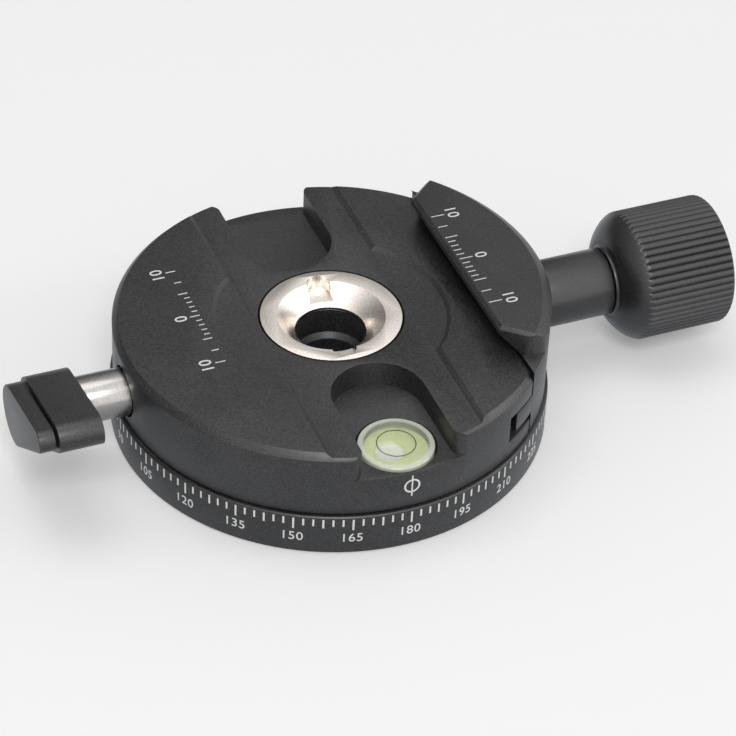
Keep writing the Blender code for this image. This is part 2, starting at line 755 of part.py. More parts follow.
def clamp_screw():
    """The screw, with a groove for its clip and a tapped hole for the end screw."""
    hole_end = END_SCREW_TIP_X - SEAT_GAP
    profile = [
        (0, hole_end),
        (END_SCREW_CLEAR_R, hole_end),
        (END_SCREW_CLEAR_R, SCREW_END_X),
        (SCREW_R, SCREW_END_X),
        (SCREW_R, CLIP_END_X + SEAT_GAP),
        (SCREW_GROOVE_R, CLIP_END_X + SEAT_GAP),
        (SCREW_GROOVE_R, CLIP_X - SEAT_GAP),
        (SCREW_R, CLIP_X - SEAT_GAP),
        (SCREW_R, BUSH_X),
        (0, BUSH_X),
    ]
    return turned("clamp_screw", profile, SMALL_STEPS, TOWARDS_KNOB, (0, 0, SCREW_Z))


def screw_clip():
    """A clip that is open at the bottom so that it can be pushed into the groove."""
    centre = (0, 0, SCREW_Z)
    clip = flat_ring("screw_clip", CLIP_IN_R, CLIP_R, CLIP_X, CLIP_END_X, SMALL_STEPS, TOWARDS_KNOB, centre)
    half = CLIP_SLOT / 2
    low = (CLIP_X - OVERRUN, -half, SCREW_Z - CLIP_R - OVERRUN)
    high = (CLIP_END_X + OVERRUN, half, SCREW_Z)
    change(clip, "DIFFERENCE", [box("clip_slot", low, high)])
    return clip


def knob_washer():
    centre = (0, 0, SCREW_Z)
    low, high = KNOB_WASHER_X, KNOB_WASHER_END_X
    return flat_ring(
        "knob_washer", SCREW_CLEAR_R, KNOB_WASHER_R, low, high, SMALL_STEPS, TOWARDS_KNOB, centre
    )


def knob_sleeve():
    centre = (0, 0, SCREW_Z)
    low, high = SLEEVE_X, SLEEVE_END_X
    return flat_ring("knob_sleeve", SCREW_CLEAR_R, SLEEVE_R, low, high, MEDIUM_STEPS, TOWARDS_KNOB, centre)


def clamp_knob():
    """A drum with straight flutes, a rounded shoulder and a stepped bore."""
    drum_x = KNOB_X + KNOB_SHOULDER_L
    profile = [
        (0, KNOB_END_X),
        (KNOB_R - KNOB_EDGE, KNOB_END_X),
        (KNOB_R, KNOB_END_X - KNOB_EDGE),
    ]
    for index in range(KNOB_SHOULDER_POINTS):
        angle = math.pi / 2 * index / (KNOB_SHOULDER_POINTS - 1)
        radius = KNOB_NECK_R + (KNOB_R - KNOB_NECK_R) * math.cos(angle)
        profile.append((radius, drum_x - KNOB_SHOULDER_L * math.sin(angle)))
    profile.append((0, KNOB_X))
    steps = KNOB_FLUTES * 2
    centre = (0, 0, SCREW_Z)
    knob = turned("clamp_knob", profile, steps, TOWARDS_KNOB, centre)
    bake(knob)
    for vertex in knob.data.vertices:
        radius = math.hypot(vertex.co.x, vertex.co.y)
        step = round(math.atan2(vertex.co.y, vertex.co.x) / math.tau * steps)
        if radius > KNOB_R - MERGE and step % 2:
            vertex.co.x *= (radius - KNOB_FLUTE_DEPTH) / radius
            vertex.co.y *= (radius - KNOB_FLUTE_DEPTH) / radius
    bores = [
        ("knob_bore", SCREW_CLEAR_R, KNOB_X - OVERRUN, WEB_X),
        ("knob_web_hole", END_SCREW_CLEAR_R, WEB_X - OVERRUN, WEB_END_X + OVERRUN),
        ("knob_recess", END_SCREW_HEAD_R + SEAT_GAP, WEB_END_X, KNOB_END_X + OVERRUN),
    ]
    for name, bore_r, low, high in bores:
        bore = cylinder(name, bore_r, low, high, SMALL_STEPS, TOWARDS_KNOB, centre)
        change(knob, "DIFFERENCE", [bore])
    return knob


def socket_screw(name, head_r, head_h, shank_r, head, tip, axis, centre):
    """A cap screw with a hexagon socket; the head starts at one place and the tip ends at another."""
    top = head + head_h
    profile = [(0, top), (head_r, top), (head_r, head), (shank_r, head), (shank_r, tip), (0, tip)]
    screw = turned(name, profile, SMALL_STEPS, axis, centre)
    floor = top - HEX_SOCKET_DEPTH
    socket = cylinder(name + "_socket", HEX_SOCKET_R, floor, top + OVERRUN, HEX_SIDES, axis, centre)
    change(screw, "DIFFERENCE", [socket])
    return screw


def knob_end_screw():
    centre = (0, 0, SCREW_Z)
    head_r, head_h = END_SCREW_HEAD_R, END_SCREW_HEAD_H
    head, tip = END_SCREW_X, END_SCREW_TIP_X
    return socket_screw("knob_end_screw", head_r, head_h, END_SCREW_R, head, tip, TOWARDS_KNOB, centre)


def lock_shaft():
    """Steel shaft of the pan lock, with a threaded end and a spigot for the lever."""
    hole_end = LEVER_SCREW_TIP - SEAT_GAP
    profile = [
        (0, hole_end),
        (LEVER_SCREW_CLEAR_R, hole_end),
        (LEVER_SCREW_CLEAR_R, LOCK_SPIGOT_END),
        (LOCK_SPIGOT_R, LOCK_SPIGOT_END),
        (LOCK_SPIGOT_R, LOCK_SHAFT_END),
        (LOCK_SHAFT_R, LOCK_SHAFT_END),
        (LOCK_SHAFT_R, LOCK_SHOULDER),
        (LOCK_THREAD_R, LOCK_SHOULDER),
        (LOCK_THREAD_R, LOCK_THREAD_END),
        (0, LOCK_THREAD_END),
    ]
    return turned("lock_shaft", profile, MEDIUM_STEPS, TOWARDS_LEVER, (0, 0, LOCK_Z))


def lock_bush():
    centre = (0, 0, LOCK_Z)
    low, high = LOCK_BUSH_IN, LOCK_BUSH_OUT
    return flat_ring(
        "lock_bush", LOCK_THREAD_CLEAR_R, LOCK_SHAFT_R, low, high, SMALL_STEPS, TOWARDS_LEVER, centre
    )


def brake_pad():
    centre = (0, 0, LOCK_Z)
    return cylinder("brake_pad", LOCK_THREAD_R, PAD_FACE, PAD_BACK, SMALL_STEPS, TOWARDS_LEVER, centre)


def lever_heading():
    """The angle in the YZ plane at which the lever's nose points."""
    return math.pi - LEVER_RISE_ANGLE


def teardrop(inset):
    """Two round ends joined by straight sides that touch both."""
    heading = lever_heading()
    spread = math.acos((LEVER_BIG_R - LEVER_NOSE_R) / LEVER_REACH)
    nose = (LEVER_REACH * math.cos(heading), LEVER_REACH * math.sin(heading))
    back = arc(
        (0, 0), LEVER_BIG_R - inset, heading + spread, heading + math.tau - spread, LEVER_ARC_POINTS
    )
    front = arc(nose, LEVER_NOSE_R - inset, heading - spread, heading + spread, LEVER_ARC_POINTS // 2)
    return back + front


def peg_centres():
    heading = lever_heading()
    for reach in (PEG_NEAR, PEG_FAR):
        yield (0, reach * math.cos(heading), LOCK_Z + reach * math.sin(heading))


def lock_lever():
    """The teardrop lever with a stepped bore and two holes for the cap's pegs."""
    centre = (0, 0, LOCK_Z)
    middle = (-(LEVER_BACK + LEVER_FACE) / 2, 0, LOCK_Z)
    lever = slab("lock_lever", teardrop(0), LEVER_T, END_YZ, middle)
    face = LEVER_FACE + OVERRUN
    bore_r = LOCK_SPIGOT_R + SEAT_GAP
    recess_r = LEVER_SCREW_HEAD_R + SEAT_GAP
    bore = cylinder("lever_bore", bore_r, LEVER_BACK - OVERRUN, face, MEDIUM_STEPS, TOWARDS_LEVER, centre)
    recess = cylinder("lever_recess", recess_r, LEVER_RECESS, face, MEDIUM_STEPS, TOWARDS_LEVER, centre)
    change(lever, "DIFFERENCE", [bore, recess])
    peg_end = CAP_BACK - PEG_L - SEAT_GAP
    for place in peg_centres():
        hole = cylinder("peg_hole", PEG_R + SEAT_GAP, peg_end, face, SMALL_STEPS, TOWARDS_LEVER, place)
        change(lever, "DIFFERENCE", [hole])
    return lever


def lever_cap():
    """The light end cap, held by two pegs on its back."""
    middle = (-(CAP_BACK + CAP_FACE) / 2, 0, LOCK_Z)
    cap = slab("lever_cap", teardrop(CAP_INSET), CAP_T, END_YZ, middle)
    low = CAP_BACK - PEG_L
    high = CAP_BACK + CAP_T / 2
    for place in peg_centres():
        change(cap, "UNION", [cylinder("cap_peg", PEG_R, low, high, SMALL_STEPS, TOWARDS_LEVER, place)])
    return cap


def lever_screw():
    centre = (0, 0, LOCK_Z)
    head_r, head_h = LEVER_SCREW_HEAD_R, LEVER_SCREW_HEAD_H
    head, tip = LEVER_SCREW_HEAD, LEVER_SCREW_TIP
    return socket_screw("lever_screw", head_r, head_h, LEVER_SCREW_R, head, tip, TOWARDS_LEVER, centre)


def level_centre():
    return (0, LEVEL_INSET - BODY_R, 0)


def level_vial():
    """A clear cup, closed at the top."""
    inner = LEVEL_R - LEVEL_WALL
    profile = [
        (0, LEVEL_TOP_Z),
        (LEVEL_R - LEVEL_BEVEL, LEVEL_TOP_Z),
        (LEVEL_R, LEVEL_TOP_Z - LEVEL_BEVEL),
        (LEVEL_R, LEVEL_Z),
        (inner, LEVEL_Z),
        (inner, LEVEL_ROOF_Z),
        (0, LEVEL_ROOF_Z),
    ]
    return turned("level_vial", profile, MEDIUM_STEPS, UPRIGHT, level_centre())


def level_base():
    radius = LEVEL_R - LEVEL_WALL - SEAT_GAP
    high = LEVEL_Z + LEVEL_PLUG_T
    return cylinder("level_base", radius, LEVEL_Z, high, SMALL_STEPS, UPRIGHT, level_centre())


def level_fluid():
    """The liquid, with the bubble as a shallow hollow in its top."""
    radius = LEVEL_R - LEVEL_WALL - SEAT_GAP
    low = LEVEL_Z + LEVEL_PLUG_T + SEAT_GAP
    high = LEVEL_ROOF_Z - SEAT_GAP
    fluid = cylinder("level_fluid", radius, low, high, SMALL_STEPS, UPRIGHT, level_centre())
    mesh = bpy.data.meshes.new("bubble")
    bm = bmesh.new()
    shape = Matrix.Diagonal((BUBBLE_R, BUBBLE_R, BUBBLE_DEPTH, 1))
    bmesh.ops.create_uvsphere(bm, u_segments=SMALL_STEPS, v_segments=BUBBLE_RINGS, radius=1, matrix=shape)
    bm.to_mesh(mesh)
    bm.free()
    centre = Vector(level_centre()) + Vector((-BUBBLE_OFFSET, 0, high))
    change(fluid, "DIFFERENCE", [add_object("bubble", mesh, centre, UPRIGHT)])
    return fluid


clear_scene()
cutters = new_collection("cutters")
pieces = new_collection("panning_clamp")

black = surface("black_anodised_aluminium", (0.028, 0.028, 0.031), 0.42, 0.75)
knob_black = surface("black_anodised_knob", (0.032, 0.032, 0.036), 0.4, 0.75)
steel = surface("turned_steel", (0.62, 0.60, 0.57), 0.3, 1.0)
hard_steel = surface("hardened_steel", (0.45, 0.44, 0.43), 0.35, 1.0)
brass = surface("brass", (0.68, 0.5, 0.22), 0.35, 1.0)
nylon = surface("white_nylon", (0.85, 0.85, 0.82), 0.5, 0.0)
clear = surface("clear_acrylic", (0.9, 0.93, 0.86), 0.08, 0.0)
liquid = surface("level_liquid", (0.68, 0.85, 0.16), 0.1, 0.0)
light_cap = surface("light_anodised_cap", (0.55, 0.55, 0.57), 0.35, 0.9)

base = carrier("base", (0, 0, 0))
clamp = carrier("clamp", (0, 0, BODY_Z), base)
jaw_slide = carrier("jaw_slide", (JAW_X, 0, SCREW_Z), clamp)
knob_axis = carrier("knob_axis", (KNOB_X, 0, SCREW_Z), jaw_slide)
brake_slide = carrier("brake_slide", (-PAD_FACE, 0, LOCK_Z), clamp)
lever_axis = carrier("lever_axis", (-LEVER_BACK, 0, LOCK_Z), brake_slide)

finish(base_ring(), black, base)
finish(retaining_ring(), steel, base)
finish(friction_washer(), nylon, base)
finish(spindle_washer(), hard_steel, base)

finish(clamp_body(), black, clamp)
finish(screw_bush(), hard_steel, clamp)
finish(lock_bush(), brass, clamp)
finish(level_vial(), clear, clamp)
finish(level_base(), nylon, clamp)
finish(level_fluid(), liquid, clamp)

finish(moving_jaw(), black, jaw_slide)
for place, side in (("front", -1), ("rear", 1)):
    finish(guide_pin("jaw_pin_" + place, side), hard_steel, jaw_slide)
    finish(jaw_spring("jaw_spring_" + place, side), hard_steel, clamp)

finish(clamp_screw(), hard_steel, knob_axis)
finish(screw_clip(), hard_steel, knob_axis)
finish(knob_washer(), nylon, knob_axis)
finish(knob_sleeve(), black, knob_axis)
finish(clamp_knob(), knob_black, knob_axis)
finish(knob_end_screw(), hard_steel, knob_axis)

finish(brake_pad(), nylon, brake_slide)
finish(lock_shaft(), steel, lever_axis)
finish(lock_lever(), black, lever_axis)
finish(lever_cap(), light_cap, lever_axis)
finish(lever_screw(), hard_steel, lever_axis)
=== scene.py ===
# %% [markdown]
# # A panning clamp, dressed for the camera
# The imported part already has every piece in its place, as plain solids with few facets.
# Each piece that shows is modelled again here, finer and with the small roundings that
# catch the light, and every piece gets a finish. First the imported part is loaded, and its
# box is kept, because the dressed clamp has to stay inside it.

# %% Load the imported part
import math

import bmesh
import bpy
from mathutils import Matrix, Vector


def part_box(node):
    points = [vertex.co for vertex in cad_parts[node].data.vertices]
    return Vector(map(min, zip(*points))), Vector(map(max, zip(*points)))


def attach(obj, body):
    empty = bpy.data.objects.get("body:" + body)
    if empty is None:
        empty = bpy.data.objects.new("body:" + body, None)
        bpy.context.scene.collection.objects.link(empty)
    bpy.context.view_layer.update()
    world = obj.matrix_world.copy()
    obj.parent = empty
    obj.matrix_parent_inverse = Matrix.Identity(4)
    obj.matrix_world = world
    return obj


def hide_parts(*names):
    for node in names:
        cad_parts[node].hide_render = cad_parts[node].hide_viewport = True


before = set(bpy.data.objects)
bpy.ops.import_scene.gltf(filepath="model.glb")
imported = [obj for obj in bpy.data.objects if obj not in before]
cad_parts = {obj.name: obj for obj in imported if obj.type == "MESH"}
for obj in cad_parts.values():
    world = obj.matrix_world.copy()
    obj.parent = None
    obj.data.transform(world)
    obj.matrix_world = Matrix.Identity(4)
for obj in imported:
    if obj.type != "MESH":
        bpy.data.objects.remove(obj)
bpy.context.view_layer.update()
print("packed pieces:", len(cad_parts))

# %% [markdown]
# ## Sizes that the frame gives
# A piece that follows its solid takes its size from that solid's box. So when the part
# changes, the dressed piece changes with it. Lengths are in metres.

# %% Read the boxes
base_low, base_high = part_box("base_ring")
body_low, body_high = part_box("clamp_body")
jaw_low, jaw_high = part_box("moving_jaw")
nut_low, nut_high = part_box("retaining_ring")
vial_low, vial_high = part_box("level_vial")
fluid_low, fluid_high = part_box("level_fluid")
plug_low, plug_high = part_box("level_base")
sleeve_low, sleeve_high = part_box("knob_sleeve")
knob_low, knob_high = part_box("clamp_knob")
shaft_low, shaft_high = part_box("lock_shaft")
lever_low, lever_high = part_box("lock_lever")
cap_low, cap_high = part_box("lever_cap")
screw_low, screw_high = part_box("clamp_screw")

SEAT_GAP = 0.0003
OVERRUN = 0.002
BASE_R = base_high.x
HUB_TOP = base_high.z
BODY_R = body_high.y
BODY_FOOT = body_low.z
BASE_TOP = BODY_FOOT - SEAT_GAP
JAW_TOP = body_high.z
SPLIT_X = body_high.x
CHANNEL_Z = nut_high.z
NUT_R = nut_high.x
SCREW_Z = (sleeve_low.z + sleeve_high.z) / 2
LOCK_Z = (shaft_low.z + shaft_high.z) / 2
LEVEL_Y = (vial_low.y + vial_high.y) / 2
print(f"base {BASE_R * 2:.4f} m across, jaws {JAW_TOP:.4f} m high")

# %% [markdown]
# ## Four ways to make a shape
# Most pieces of a clamp are turned on a lathe, so `lathe` spins an outline. Milled forms
# are `prism`s, cut out of the turned blank by `carve`. Real machined edges are never
# perfectly sharp, so `soften` bevels them. That thin bright line is what makes metal read
# as metal.

# %% Shape helpers
WELD = 0.000001
FLAT = math.radians(0.3)
SHARP = math.radians(28)
FINE = 240
ROUND = 96
SMALL = 48


def place_on(axis, centre=(0, 0, 0)):
    """Stands a shape that was turned about Z on another axis, through a centre."""
    return Matrix.Translation(centre) @ Vector((0, 0, 1)).rotation_difference(axis).to_matrix().to_4x4()


def object_from(bm, name):
    mesh = bpy.data.meshes.new(name)
    bm.to_mesh(mesh)
    bm.free()
    thing = bpy.data.objects.new(name, mesh)
    bpy.context.scene.collection.objects.link(thing)
    return thing


def lathe(name, outline, steps, place=Matrix()):
    """Spins (radius, height) corners about Z. A ring's outline closes on itself."""
    bm = bmesh.new()
    corners = [bm.verts.new((radius, 0, height)) for radius, height in outline]
    path = corners if outline[0][0] == 0 else corners + corners[:1]
    sides = [bm.edges.new(pair) for pair in zip(path, path[1:])]
    bmesh.ops.spin(
        bm, geom=corners + sides, axis=(0, 0, 1), angle=math.tau, steps=steps, use_merge=True
    )
    bmesh.ops.remove_doubles(bm, verts=bm.verts, dist=WELD)
    bmesh.ops.recalc_face_normals(bm, faces=bm.faces)
    bmesh.ops.transform(bm, matrix=place, verts=bm.verts)
    return object_from(bm, name)


def prism(name, outline, low, high, place=Matrix()):
    """Extrudes a flat outline from one height to another."""
    bm = bmesh.new()
    face = bm.faces.new([bm.verts.new((across, up, low)) for across, up in outline])
    grown = bmesh.ops.extrude_face_region(bm, geom=[face])["geom"]
    top = [part for part in grown if isinstance(part, bmesh.types.BMVert)]
    bmesh.ops.translate(bm, verts=top, vec=(0, 0, high - low))
    bmesh.ops.recalc_face_normals(bm, faces=bm.faces)
    bmesh.ops.transform(bm, matrix=place, verts=bm.verts)
    return object_from(bm, name)


def rod(name, radius, low, high, steps=ROUND, place=Matrix(), top_radius=None):
    """A cylinder or a cone from one height to another."""
    end = radius if top_radius is None else top_radius
    return lathe(name, [(0, high), (end, high), (radius, low), (0, low)], steps, place)


def block(name, low, high):
    middle = (Vector(low) + Vector(high)) / 2
    size = Vector(high) - Vector(low)
    bm = bmesh.new()
    bmesh.ops.create_cube(bm, size=1, matrix=Matrix.Translation(middle) @ Matrix.Diagonal((*size, 1)))
    return object_from(bm, name)


def carve(thing, cutters):
    """Takes each cutter out of the thing with an exact Boolean, and keeps the result."""
    for cutter in cutters:
        modifier = thing.modifiers.new(cutter.name, "BOOLEAN")
        modifier.solver = "EXACT"
        modifier.object = cutter
    graph = bpy.context.evaluated_depsgraph_get()
    shape = bpy.data.meshes.new_from_object(thing.evaluated_get(graph))
    thing.modifiers.clear()
    thing.data = shape
    for cutter in cutters:
        bpy.data.objects.remove(cutter)
    bm = bmesh.new()
    bm.from_mesh(shape)
    bmesh.ops.remove_doubles(bm, verts=bm.verts, dist=WELD)
    bmesh.ops.dissolve_degenerate(bm, dist=WELD, edges=bm.edges)
    bm.to_mesh(shape)
    bm.free()


def arc(centre, radius, start, end, count):
    """Points on part of a circle, for a prism's or a lathe's outline."""
    step = (end - start) / (count - 1)
    angles = [start + step * index for index in range(count)]
    return [(centre[0] + radius * math.cos(a), centre[1] + radius * math.sin(a)) for a in angles]


def soften(thing, width, segments=2, chosen=None):
    """Bevels the sharp edges, or those of them that a test picks."""
    bm = bmesh.new()
    bm.from_mesh(thing.data)
    bmesh.ops.remove_doubles(bm, verts=bm.verts, dist=WELD)
    bmesh.ops.dissolve_limit(bm, angle_limit=FLAT, verts=bm.verts, edges=bm.edges)
    sharp = [edge for edge in bm.edges if edge.is_manifold and edge.calc_face_angle() > SHARP]
    edges = [edge for edge in sharp if chosen is None or chosen(edge)]
    bmesh.ops.bevel(
        bm, geom=edges, offset=width, offset_type="OFFSET", segments=segments,
        affect="EDGES", profile=0.5, material=-1, clamp_overlap=True,
    )
    bm.to_mesh(thing.data)
    bm.free()


KNOB_AXIS = place_on(Vector((1, 0, 0)), (0, 0, SCREW_Z))
LOCK_AXIS = place_on(Vector((-1, 0, 0)), (0, 0, LOCK_Z))
LEVEL_AXIS = Matrix.Translation((0, LEVEL_Y, 0))
SIDE_VIEW = Matrix.Rotation(math.pi / 2, 4, "X")
print(f"knob axis {SCREW_Z:.4f} m up, lock axis {LOCK_Z:.4f} m up")

# %% [markdown]
# ## Finishes as node groups
# Three effects turn up in more than one material, so each is a group with named sockets:
# the fine speckle of bead-blasted metal, the rings that a lathe tool leaves, and faint
# handling marks. All of them read Object coordinates, so they stay on the piece when it
# moves.

# %% Group helpers


def new_group(name, takes, gives):
    """A shader node group with named inputs (with their first values) and outputs."""
    group = bpy.data.node_groups.new(name, "ShaderNodeTree")
    for label, kind, value in takes:
        socket = group.interface.new_socket(name=label, in_out="INPUT", socket_type="NodeSocket" + kind)
        if value is not None:
            socket.default_value = value
    for label, kind in gives:
        group.interface.new_socket(name=label, in_out="OUTPUT", socket_type="NodeSocket" + kind)
    return group, group.nodes.new("NodeGroupInput"), group.nodes.new("NodeGroupOutput")


def node(tree, kind, inputs=(), **settings):
    """Adds a node, sets its properties, and links or sets the inputs that are given."""
    made = tree.nodes.new("ShaderNode" + kind)
    for label, value in settings.items():
        setattr(made, label, value)
    for label, value in dict(inputs).items():
        if isinstance(value, bpy.types.NodeSocket):
            tree.links.new(value, made.inputs[label])
        else:
            made.inputs[label].default_value = value
    return made


def sums(tree, operation, first, second, clamp=False):
    return node(tree, "Math", {0: first, 1: second}, operation=operation, use_clamp=clamp).outputs[0]


print("helpers for groups are ready")

# %% [markdown]
# ## Speckle
# Bead blasting leaves tiny pits that scatter the light, so colour, roughness and height
# all waver a little. One fine noise could do it, but a coarser cloud under it keeps the
# surface from looking even from afar. The contrast is a socket, so that the same group
# serves anodised metal, plain steel and smooth nylon.

# %% Speckle: bead-blasted grain
speckle, taken, given = new_group(
    "speckle",
    [("Colour", "Color", (0.02, 0.02, 0.02, 1)), ("Size", "Float", 0.0002), ("Contrast", "Float", 0.5),
     ("Roughness", "Float", 0.4)],
    [("Colour", "Color"), ("Roughness", "Float"), ("Height", "Float")],
)
where = node(speckle, "TexCoord").outputs["Object"]
per_metre = sums(speckle, "DIVIDE", 1.0, taken.outputs["Size"])
grain = node(speckle, "TexNoise", {"Vector": where, "Scale": per_metre, "Detail": 3.0}).outputs["Fac"]
cloud_scale = sums(speckle, "DIVIDE", per_metre, 40.0)
cloud = node(speckle, "TexNoise", {"Vector": where, "Scale": cloud_scale, "Detail": 2.0}).outputs["Fac"]
mixed = sums(speckle, "ADD", sums(speckle, "MULTIPLY", grain, 0.8), sums(speckle, "MULTIPLY", cloud, 0.2))
swing = sums(speckle, "MULTIPLY", sums(speckle, "SUBTRACT", mixed, 0.5), taken.outputs["Contrast"])
wide = sums(speckle, "ADD", sums(speckle, "MULTIPLY", swing, 4.0), 1.0)
gain = sums(speckle, "MAXIMUM", wide, 0.1)
tinted = node(speckle, "VectorMath", {0: taken.outputs["Colour"], "Scale": gain}, operation="SCALE")
rougher = sums(speckle, "ADD", taken.outputs["Roughness"], sums(speckle, "MULTIPLY", swing, 0.15), True)
speckle.links.new(tinted.outputs["Vector"], given.inputs["Colour"])
speckle.links.new(rougher, given.inputs["Roughness"])
speckle.links.new(grain, given.inputs["Height"])
print("speckle sockets:", [item.name for item in speckle.interface.items_tree])

# %% [markdown]
# ## Tool rings
# A lathe's tool leaves fine rings about the axis of the piece. An image could hold them,
# but a noise along one number, the distance from the axis plus the height, draws them on
# flat ends, cones and walls alike, and needs no unwrapping.

# %% Tool rings: what a lathe leaves
tool_rings, taken, given = new_group(
    "tool_rings",
    [("Vector", "Vector", None), ("Pitch", "Float", 0.00012), ("Strength", "Float", 0.5)],
    [("Height", "Float"), ("Shade", "Float")],
)
parts = node(tool_rings, "SeparateXYZ", {"Vector": taken.outputs["Vector"]})
flat_vector = node(tool_rings, "CombineXYZ", {"X": parts.outputs["X"], "Y": parts.outputs["Y"]})
off_axis = node(tool_rings, "VectorMath", {0: flat_vector.outputs["Vector"]}, operation="LENGTH")
along = sums(tool_rings, "ADD", off_axis.outputs["Value"], parts.outputs["Z"])
turns = sums(tool_rings, "DIVIDE", along, taken.outputs["Pitch"])
lined = node(tool_rings, "CombineXYZ", {"X": turns})
cut = node(tool_rings, "TexNoise", {"Vector": lined.outputs["Vector"], "Scale": 1.0, "Detail": 3.0})
deep = sums(tool_rings, "MULTIPLY", cut.outputs["Fac"], taken.outputs["Strength"])
shade = sums(tool_rings, "ADD", sums(tool_rings, "MULTIPLY", sums(tool_rings, "SUBTRACT", deep, 0.25), 0.5), 1.0)
tool_rings.links.new(deep, given.inputs["Height"])
tool_rings.links.new(shade, given.inputs["Shade"])
print("node groups:", [group.name for group in bpy.data.node_groups])

# %% [markdown]
# ## Materials
# Black anodised aluminium is a thin clear skin over dyed metal. Seen from above it is
# nearly black, and at a flat angle it shows the pale floor, which the Principled shader
# does by itself at its normal IOR. The steel pieces are bare metal with tool rings.

# %% Metal makers
X_TURN = (0, math.pi / 2, 0)
NO_TURN = (0, 0, 0)


def new_material(name, **constants):
    """A Principled material whose constants sit on the shader's own sockets."""
    material = bpy.data.materials.new(name)
    material.use_nodes = True
    shader = material.node_tree.nodes["Principled BSDF"]
    for label, value in constants.items():
        shader.inputs[label.replace("_", " ").title().replace("Ior", "IOR")].default_value = value
    return material, material.node_tree, shader


def add_bump(tree, shader, height, strength, distance):
    bump = node(tree, "Bump", {"Height": height, "Strength": strength, "Distance": distance})
    tree.links.new(bump.outputs["Normal"], shader.inputs["Normal"])


def grained(name, colour, size, contrast, roughness, depth, **constants):
    """A speckled finish, as bead blasting and moulding leave it."""
    material, tree, shader = new_material(name, **constants)
    finish = node(tree, "Group", node_tree=speckle)
    for label, value in (("Colour", colour), ("Size", size), ("Contrast", contrast), ("Roughness", roughness)):
        finish.inputs[label].default_value = value
    tree.links.new(finish.outputs["Colour"], shader.inputs["Base Color"])
    tree.links.new(finish.outputs["Roughness"], shader.inputs["Roughness"])
    add_bump(tree, shader, finish.outputs["Height"], 0.5, depth)
    return material


def machined(name, colour, turn, centre, pitch, strength, roughness, depth, **constants):
    """Speckle and tool rings about an axis that the Mapping node stands upright."""
    material, tree, shader = new_material(name, **constants)
    where = node(tree, "TexCoord").outputs["Object"]
    upright = node(tree, "Mapping", {"Vector": where, "Location": centre, "Rotation": turn}, vector_type="TEXTURE")
    rings = node(tree, "Group", node_tree=tool_rings)
    tree.links.new(upright.outputs["Vector"], rings.inputs["Vector"])
    rings.inputs["Pitch"].default_value = pitch
    rings.inputs["Strength"].default_value = strength
    finish = node(tree, "Group", node_tree=speckle)
    for label, value in (("Colour", colour), ("Size", 0.0003), ("Contrast", 0.13), ("Roughness", roughness)):
        finish.inputs[label].default_value = value
    tinted = node(
        tree, "VectorMath", {0: finish.outputs["Colour"], "Scale": rings.outputs["Shade"]}, operation="SCALE"
    )
    tree.links.new(tinted.outputs["Vector"], shader.inputs["Base Color"])
    tree.links.new(finish.outputs["Roughness"], shader.inputs["Roughness"])
    add_bump(tree, shader, rings.outputs["Height"], 0.4, depth)
    return material


print("makers of metal are ready")

# %% [markdown]
# ## One finish for each kind of piece
# The body and jaws are bead-blasted before they are anodised, and the knob is turned
# finer. The nut, shaft and screws are bare steel, the lock's bush is brass, and the
# washers and the brake pad are nylon. The shaft's steel is coloured much darker than the
# nut's, as painted shade for the dark surroundings that it reflects. Every finish comes out
# of the same two makers, so the pieces look as if one workshop had made them.

# %% The clamp's finishes
BLACK = (0.020, 0.020, 0.0205, 1)
STEEL = (0.78, 0.72, 0.665, 1)
# Painted shade: the shaft's steel is much darker than the nut's, standing in for the dark surroundings that it
# reflects.
SHAFT_STEEL_SHADED = (0.27, 0.26, 0.25, 1)
SCREW_STEEL = (0.50, 0.49, 0.48, 1)

anodised = grained("black_anodised", BLACK, 0.00025, 1.5, 0.38, 0.00002, ior=1.5)
anodised_knob = grained("black_anodised_knob", BLACK, 0.00018, 0.9, 0.30, 0.00001, ior=1.5)
nut_steel = machined("turned_steel", STEEL, NO_TURN, (0, 0, 0), 0.00016, 0.5, 0.26, 0.000012, metallic=1.0)
lock_centre = (0, 0, LOCK_Z)
shaft_steel_shaded = machined("lock_shaft_steel", SHAFT_STEEL_SHADED, X_TURN, lock_centre, 0.0002, 0.6, 0.24, 0.000015, metallic=1.0)
screw_steel = machined(
    "screw_steel", SCREW_STEEL, X_TURN, (0, 0, SCREW_Z), 0.0003, 0.5, 0.34, 0.00001, metallic=1.0
)
washer_steel = machined("washer_steel", SCREW_STEEL, NO_TURN, (0, 0, 0), 0.0002, 0.5, 0.34, 0.00001, metallic=1.0)
brass = machined("brass", (0.66, 0.47, 0.2, 1), X_TURN, lock_centre, 0.0002, 0.5, 0.32, 0.00001, metallic=1.0)
nylon = grained("white_nylon", (0.8, 0.8, 0.76, 1), 0.0004, 0.12, 0.5, 0.00001, ior=1.52)
paint = grained("engraving_paint", (0.80, 0.80, 0.79, 1), 0.00012, 0.15, 0.6, 0.000004)
print("materials:", len(bpy.data.materials))

# %% [markdown]
# ## Hand a finished piece over
# Every new piece rides on the body that its solid belongs to, and the solids that it
# stands for are hidden. It gets its material in one slot.

# %% Dress helper


def dress(piece, body, material, stands_for=()):
    piece.data.materials.clear()
    piece.data.materials.append(material)
    piece.data.shade_smooth()
    piece.data.set_sharp_from_angle(angle=SHARP)
    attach(piece, body)
    if stands_for:
        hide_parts(*stands_for)
    print(f"{piece.name}: {len(piece.data.polygons)} faces on {body}")


# %% [markdown]
# ## Base ring
# The ring that carries the degree scale is one turned piece with the hub that stands up
# through the clamp. On the real object its bore is threaded for a tripod stud. A ridge
# could be swept along a helix for that; here the bore is left plain, which is simpler.

